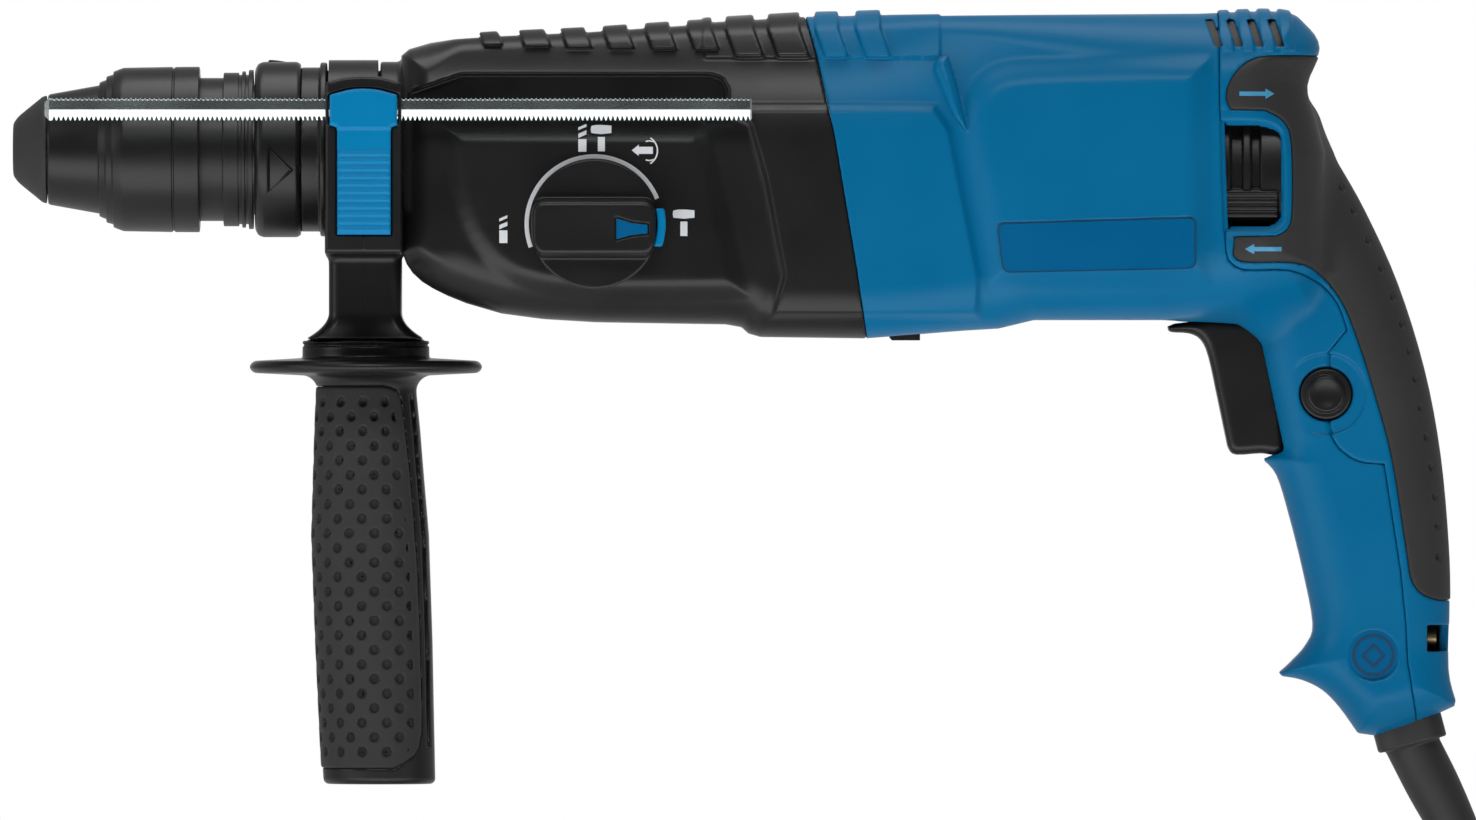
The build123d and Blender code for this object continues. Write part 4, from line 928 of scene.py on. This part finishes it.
def arc_band(cx, cz, inner, outer, start, end, steps=40):
    """A band along a circle, from one angle in degrees to another."""
    turns = [radians(start + (end - start) * n / steps) for n in range(steps + 1)]
    return ([(cx + outer * cos(t), cz + outer * sin(t)) for t in turns]
            + [(cx + inner * cos(t), cz + inner * sin(t)) for t in reversed(turns)])


def hammer_mark(x, z, size=1.0):
    """A small hammer sign: a head over a handle."""
    head = curve([(x - 3 * size, z + 0.2), (x - 3 * size, z + 2.2), (x, z + 2.5), (x + 3 * size, z + 2.3)], 2)
    head += curve([(x + 3 * size, z + 0.2), (x, z - 0.1)], 2)
    return [head, bar(x - 1.0, x + 1.0, z - 5.0, z - 0.9)]


def drill_mark(x, z):
    """A small drill bit sign: a shank with two slanting flutes over it."""
    return [bar(x - 1.15, x + 1.15, z, z + 3.6), bar(x - 1.15, x + 1.15, z + 3.9, z + 5.1, 1.0),
            bar(x - 1.15, x + 1.15, z + 6.1, z + 6.9, 1.0)]


PANEL_Y = -(HALF + 1.85)
LABEL_Y = -(HALF + 3.42)
TURN_ARROW = [(10.6, 20.9), (12.6, 22.5), (12.6, 21.9), (16.6, 21.9), (16.6, 19.9), (12.6, 19.9), (12.6, 19.3)]
TURN_ARCS = [(15.6, 2.6, 2.95, 62, 112, 10), (13.6, 4.1, 4.5, -58, 58, 16), (15.6, 2.6, 2.95, -112, -62, 10)]
# The dial's marks, measured from the knob's axis.
MARKS = ([arc_band(0, 0, 18.6, 19.8, 22, 200), TURN_ARROW] + hammer_mark(25.4, 1.6) + hammer_mark(2.0, 25.6, 0.95)
         + drill_mark(-25.8, -5.4) + drill_mark(-3.4, 20.5) + [arc_band(x, 20.8, *band) for x, *band in TURN_ARCS])
plate("dial_marks", [[(KNOB_X + dx, KNOB_Z + dz) for dx, dz in mark] for mark in MARKS], PANEL_Y, 0.12, "casing",
      "white_print")

LABEL_INNER = [(-100.6, 58.4), (-45, 60.1), (-45, 46.2), (-99, 45)]
for name, line, size, face, height, finish_name in (
        ("label_edge", LABEL, 2.4, LABEL_Y + 0.8, 0.8, "label_edge"),
        ("blank_label", LABEL_INNER, 2.1, LABEL_Y, 0.12, "label_blue")):
    plate(name, [rounded([(x, z, size) for x, z in line], 6)], face, height, "casing", finish_name)
plate("emblem_disc", [circle(EMBLEM_X, EMBLEM_Z, 7.1, 40)], -15.6, 0.95, "casing", "label_blue")
plate("emblem", [arc_band(EMBLEM_X, EMBLEM_Z, 5.2, 6.0, 0, 359, 40)]
      + [[(EMBLEM_X - 3.4, base), (EMBLEM_X, base + 3.4 * up), (EMBLEM_X + 3.4, base), (EMBLEM_X + 2.3, base),
          (EMBLEM_X, base + 2.3 * up), (EMBLEM_X - 2.3, base)] for base, up in ((EMBLEM_Z, 1), (EMBLEM_Z - 0.3, -1))],
      -16.5, 0.2, "casing", "label_edge")
LATCH_TAB = [(-131.3, 30), (-122.6, 30), (-122.6, 25.6), (-130.6, 25.6), (-131.3, 26.4)]
plate("latch_tab", [LATCH_TAB], 7, 14, "casing", "black_plastic")


def skin_depth(px, pz):
    """How far out along -Y the casing reaches at one spot."""
    ys = np.linspace(-42, 0, 1200)
    return ys[np.nonzero(whole_form(px, ys, pz) < 0)[0][0]]


def on_casing(grids, name, finish_name, lift, sides=(-1,)):
    """Thin flat marks that follow the casing, on the side of each sign; a grid is rows of (x, z) spots."""
    verts, faces = [], []
    for grid in grids:
        rows, columns = len(grid), len(grid[0])
        for side in sides:
            base = len(verts)
            for row in grid:
                for px, pz in row:
                    y = skin_depth(px, pz) - lift
                    verts += [(px, -side * y, pz), (px, -side * (y + 0.25), pz)]
            quads = []
            for r in range(rows - 1):
                for c in range(columns - 1):
                    a, b = base + 2 * (r * columns + c), base + 2 * ((r + 1) * columns + c)
                    quads += [(a, a + 2, b + 2, b), (b + 1, b + 3, a + 3, a + 1)]
            edge = ([(0, c) for c in range(columns)] + [(r, columns - 1) for r in range(1, rows)]
                    + [(rows - 1, c) for c in range(columns - 2, -1, -1)] + [(r, 0) for r in range(rows - 2, 0, -1)])
            ring = [base + 2 * (r * columns + c) for r, c in edge]
            quads += [(a, a + 1, b + 1, b) for a, b in zip(ring, ring[1:] + ring[:1])]
            faces += quads if side < 0 else [quad[::-1] for quad in quads]
    make(name, verts, faces, "casing", finish_name, smooth=False)


def arrow_grid(x0, x1, z):
    """A flat arrow pointing from x0 to x1."""
    way = 1 if x1 > x0 else -1
    neck = x1 - way * 2.6
    stops = [(x0 + (neck - x0) * n / 12, 0.62) for n in range(13)] + [(neck + way * 0.02, 1.45)]
    stops += [(neck + way * 2.6 * n / 5, 1.45 * (1 - n / 5) + 0.02) for n in range(1, 6)]
    return [[(px, z - half + 2 * half * row / 4) for px, half in stops] for row in range(5)]


def vent_shade_grid(start):
    """A grid for a dark sheet of painted shade just inside one shallow air slot, standing in for the shaded opening.
    """
    (ax, az), (bx, _), (_, cz), (dx, _) = vent_line(start, 0.1)
    return [[(ax + (dx - ax) * t + (bx - ax) * u, az + (cz - az) * t) for u in (0, 0.5, 1)]
            for t in np.arange(9) / 8]


on_casing([arrow_grid(-32.2, -22.2, 95.5), arrow_grid(-20.2, -30.6, 51.4)], "turn_arrows", "arrow_blue",
          0.4)
# Painted shade: dark sheets in the carbon finish, 1.5 mm inside each shallow air slot on both sides, make the slots
# look like shaded openings.
on_casing([vent_shade_grid(start) for start in VENT_STARTS], "vent_backs", "carbon", -1.5, (-1, 1))


# --- strain relief, cord and plug
BOOT_TOP = np.array((17.2, 0, -88.6))
BOOT_TILT = radians(27)
BOOT_LENGTH = 54.0
BOOT_WAY = np.array((sin(BOOT_TILT), 0, -cos(BOOT_TILT)))
CORD_EXIT = BOOT_TOP + BOOT_LENGTH * BOOT_WAY
COLLAR_X, COLLAR_Z = 16.5, -84.6
COLLAR_COS, COLLAR_SIN = 0.966, 0.257
CORD_R = 4.0
REST_Z = BENCH_Z + CORD_R


def boot_form(x, y, z):
    along = (x - BOOT_TOP[0]) * BOOT_WAY[0] + (z - BOOT_TOP[2]) * BOOT_WAY[2]
    side = (x - BOOT_TOP[0]) * -BOOT_WAY[2] + (z - BOOT_TOP[2]) * BOOT_WAY[0]
    away = np.hypot(side, y)
    radius = 7.7 - 2.9 * ease((along - 10) / 46)
    tube = both(away - radius, slab(along - 26.5, 27.5), 0.5)
    for ring in range(7):
        slot = both(slab(along - 31 - 3.0 * ring, 0.85), radius - 1.3 - away)
        tube = cut(tube, cut(slot, slab(side if ring % 2 else y, 1.7)), 0.2)
    cx, cz = x - COLLAR_X, z - COLLAR_Z
    level = -COLLAR_SIN * cx + COLLAR_COS * cz
    wide = COLLAR_COS * cx + COLLAR_SIN * cz
    collar = both(both(slab(wide, 10.0), slab(y, 9.2), 6.0), slab(level + 1.4, 3.7), 0.7)
    neck = both(np.hypot(wide, y) - 5.9, slab(level - 3, 5))
    flare = both(both(slab(wide, 9), slab(y, 10), 4), slab(level - 8.8, 1.4), 0.2)
    return either(either(either(tube, collar, 0.6), neck), flare)


mould("boot", boot_form, (4, -11, -140), (46, 11, -70), 0.45, "casing", "cord_rubber", "strain_relief")


COIL_X, COIL_Y, _ = middle("cord_coil")
COIL_TURNS = 4
COIL_INNER, COIL_OUTER, COIL_PITCH = 32.0, 57.0, 8.0
COIL_START = -78.0
LAYER_RISE = 8.1
POINTS_A_TURN = 16


def coil_points():
    """The coil's turns: wound inwards along the bottom, then outwards on top, clockwise from above."""
    low = REST_Z + 0.9
    shares = [n / POINTS_A_TURN for n in range(COIL_TURNS * POINTS_A_TURN + 1)]
    spots = [(max(COIL_OUTER - COIL_PITCH * part, COIL_INNER), part, low) for part in shares]
    spots += [(min(COIL_INNER + COIL_PITCH * part, COIL_OUTER), part, low + LAYER_RISE * ease(part * 3))
              for part in shares[1:-2]]
    return [(COIL_X + radius * cos(radians(COIL_START - 360 * part)),
             COIL_Y + radius * sin(radians(COIL_START - 360 * part)), z) for radius, part, z in spots]


LEAD = [tuple(CORD_EXIT), (55.2, 0, -164), (57, -3, -194), (45, -9, -220), (19, -20, -229.4),
        (-14, -36, REST_Z), (-47, -50.5, REST_Z)]
TAIL = [(-118, -50, -222), (-137, -41, -221.6), (-158, -32, -221), (-184, -30, -221)]


def cord_curve():
    """The whole lead as one smooth open curve."""
    route = LEAD + coil_points()[1:] + TAIL[1:]
    data = bpy.data.curves.new("cord", "CURVE")
    data.dimensions = "3D"
    data.bevel_depth = CORD_R * MM
    data.bevel_resolution = 5
    data.resolution_u = 6
    data.use_fill_caps = True
    spline = data.splines.new("NURBS")
    spline.points.add(len(route) - 1)
    for point, place in zip(spline.points, route):
        point.co = (*[value * MM for value in place], 1)
    spline.order_u = 3
    spline.use_endpoint_u = True
    data.materials.append(FINISHES["cord_rubber"])
    thing = placed("cord", data)
    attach(thing, "casing")
    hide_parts("cord_lead", "cord_coil", "cord_tail")
    return thing


cord = cord_curve()
PLUG_LOW, PLUG_HIGH = span("plug")
_, PLUG_Y, PLUG_Z = middle("plug")
PLUG_END = PLUG_HIGH[0]
PIN_OUT = 9.5


def plug_form(x, y, z):
    """A two-pole plug: a ribbed boot, a waisted grip and a flat face."""
    along = PLUG_END - x
    wy, wz = y - PLUG_Y, z - PLUG_Z
    half_y = 4.6 + 2.6 * ease(along / 20) + 10.6 * ease((along - 20) / 15)
    half_z = 4.6 + 1.9 * ease(along / 20) + 6.4 * ease((along - 20) / 15)
    rim = np.minimum(half_y, half_z) * 0.75
    skin = both(slab(wy, half_y), slab(wz, half_z), rim)
    form = both(skin, slab(along - 26.8, 27.0), 1.2)
    for ring in range(5):
        form = cut(form, both(slab(along - 3.5 - 3.6 * ring, 0.8), -1.1 - skin), 0.2)
    for ring in range(5):
        slot = both(slab(along - 36 - 2.9 * ring, 0.5), -0.7 - skin)
        form = cut(form, both(slot, 6.5 - np.abs(wy)), 0.2)
    for side in (-1, 1):
        form = cut(form, both(np.hypot(wy - side * PIN_OUT, wz) - 2.45, 53 - along))
    return form


mould("plug_body", plug_form, (PLUG_END - 55, PLUG_LOW[1] - 0.3, PLUG_LOW[2] - 0.3),
      (PLUG_END + 0.5, PLUG_HIGH[1] + 0.3, PLUG_HIGH[2] + 0.3), 0.5, "casing", "cord_rubber", "plug")


def plug_pins():
    """The plug's two round pins, with bevelled ends."""
    verts, faces = [], []
    n = 32
    profile = [(-53.2, 2.4), (-66.0, 2.4), (-72.0, 2.3), (-73.0, 1.7)]
    for side in (-1, 1):
        base = len(verts)
        last = base + (len(profile) - 1) * n
        for along, radius in profile:
            verts += [(PLUG_END + along, py, pz) for py, pz in circle(PLUG_Y + side * PIN_OUT, PLUG_Z, radius, n)]
        faces += [(row + a, row + n + a, row + n + (a + 1) % n, row + (a + 1) % n)
                  for row in range(base, last, n) for a in range(n)]
        faces += [list(range(base, base + n)), list(reversed(range(last, last + n)))]
    make("plug_pins", verts, faces, "casing", "brass")


plug_pins()
TIE_LOW, TIE_HIGH = span("cord_tie")


def tie_form(x, y, z):
    cx, _, cz = (TIE_LOW + TIE_HIGH) / 2
    wide, _, high = (TIE_HIGH - TIE_LOW) / 2
    across, up = slab(x - cx, wide), slab(z - cz, high)
    outer = both(both(across + 0.1, up + 0.05, 3.2), slab(y, 5.6), 0.4)
    return cut(outer, both(across + 1.1, up + 0.95, 3.0))


mould("tie_strap", tie_form, TIE_LOW - 0.5, TIE_HIGH + 0.5, 0.45, "casing", "black_plastic", "cord_tie")


# --- floor, light and camera
def floor():
    """A pale round floor at the height that the coil lies on."""
    around = 96
    verts = [(0, 0, BENCH_Z)] + [(x, y, BENCH_Z) for x, y in circle(-174, 0, 1500.0, around)]
    faces = [(0, a + 1, (a + 1) % around + 1) for a in range(around)]
    mesh = bpy.data.meshes.new("floor")
    mesh.from_pydata([[v * MM for v in vert] for vert in verts], [], faces)
    thing = placed("floor", mesh)
    finish("floor", (0.86, 0.86, 0.86), (0.90, 0.90, 0.90), 0.6, specular=0.2)
    mesh.materials.append(FINISHES["floor"])


def area_light(name, place, target, size, power):
    """A rectangular light that the camera doesn't see, aimed at a target."""
    data = bpy.data.lights.new(name, "AREA")
    data.shape = "RECTANGLE"
    data.size, data.size_y = size
    data.energy = power
    thing = placed(name, data)
    thing.location = place
    thing.visible_camera = False
    thing.rotation_euler = (Vector(target) - Vector(place)).to_track_quat("-Z", "Y").to_euler()


VIEW_MIDDLE = (-0.17445, 0.0, 0.00575)
VIEW_WIDTH = 0.4207
CAMERA_DISTANCE = 8.0
SENSOR = 36
# The world's brightness along Y: dark behind the camera, bright behind the tool.
WORLD_STOPS = [(0.08, 0.03), (0.42, 0.22), (0.95, 0.30), (0.99, 1.0)]


def lights():
    area_light("front_light", (-0.25, -1.7, 1.55), VIEW_MIDDLE, (1.3, 0.6), 15)
    area_light("top_light", (-0.2, 0.15, 1.5), VIEW_MIDDLE, (1.6, 0.9), 13)
    area_light("bounce_light", (-0.17, -0.45, -0.226), (-0.17, -0.45, 1), (1.6, 0.5), 4.5)
    area_light("left_light", (-1.8, -0.7, 0.4), VIEW_MIDDLE, (0.8, 0.8), 4)


def studio_world():
    world = bpy.data.worlds.new("studio")
    bpy.context.scene.world = world
    world.use_nodes = True
    tree = world.node_tree
    way = add_node(tree, "TexCoord", {}).outputs["Generated"]
    parts = add_node(tree, "SeparateXYZ", {0: way})
    share = add_node(tree, "Math", {0: parts.outputs["Y"], 1: 0.5, 2: 0.5}, operation="MULTIPLY_ADD")
    ramp = add_node(tree, "ValToRGB", {0: share.outputs[0]})
    elements = ramp.color_ramp.elements
    while len(elements) < len(WORLD_STOPS):
        elements.new(0.5)
    for element, (position, shade) in zip(elements, WORLD_STOPS):
        element.position = position
        element.color = (shade, shade, shade, 1)
    feed(tree, tree.nodes["Background"], {"Color": ramp.outputs[0]})


def camera():
    data = bpy.data.cameras.new("camera")
    data.sensor_width = SENSOR
    data.lens = SENSOR * CAMERA_DISTANCE / VIEW_WIDTH
    data.clip_end = 20
    thing = placed("camera", data)
    thing.location = (VIEW_MIDDLE[0], -CAMERA_DISTANCE, VIEW_MIDDLE[2])
    thing.rotation_euler = (pi / 2, 0, 0)
    bpy.context.scene.camera = thing


floor()
lights()
studio_world()
camera()
bpy.context.scene.view_settings.view_transform = "Standard"
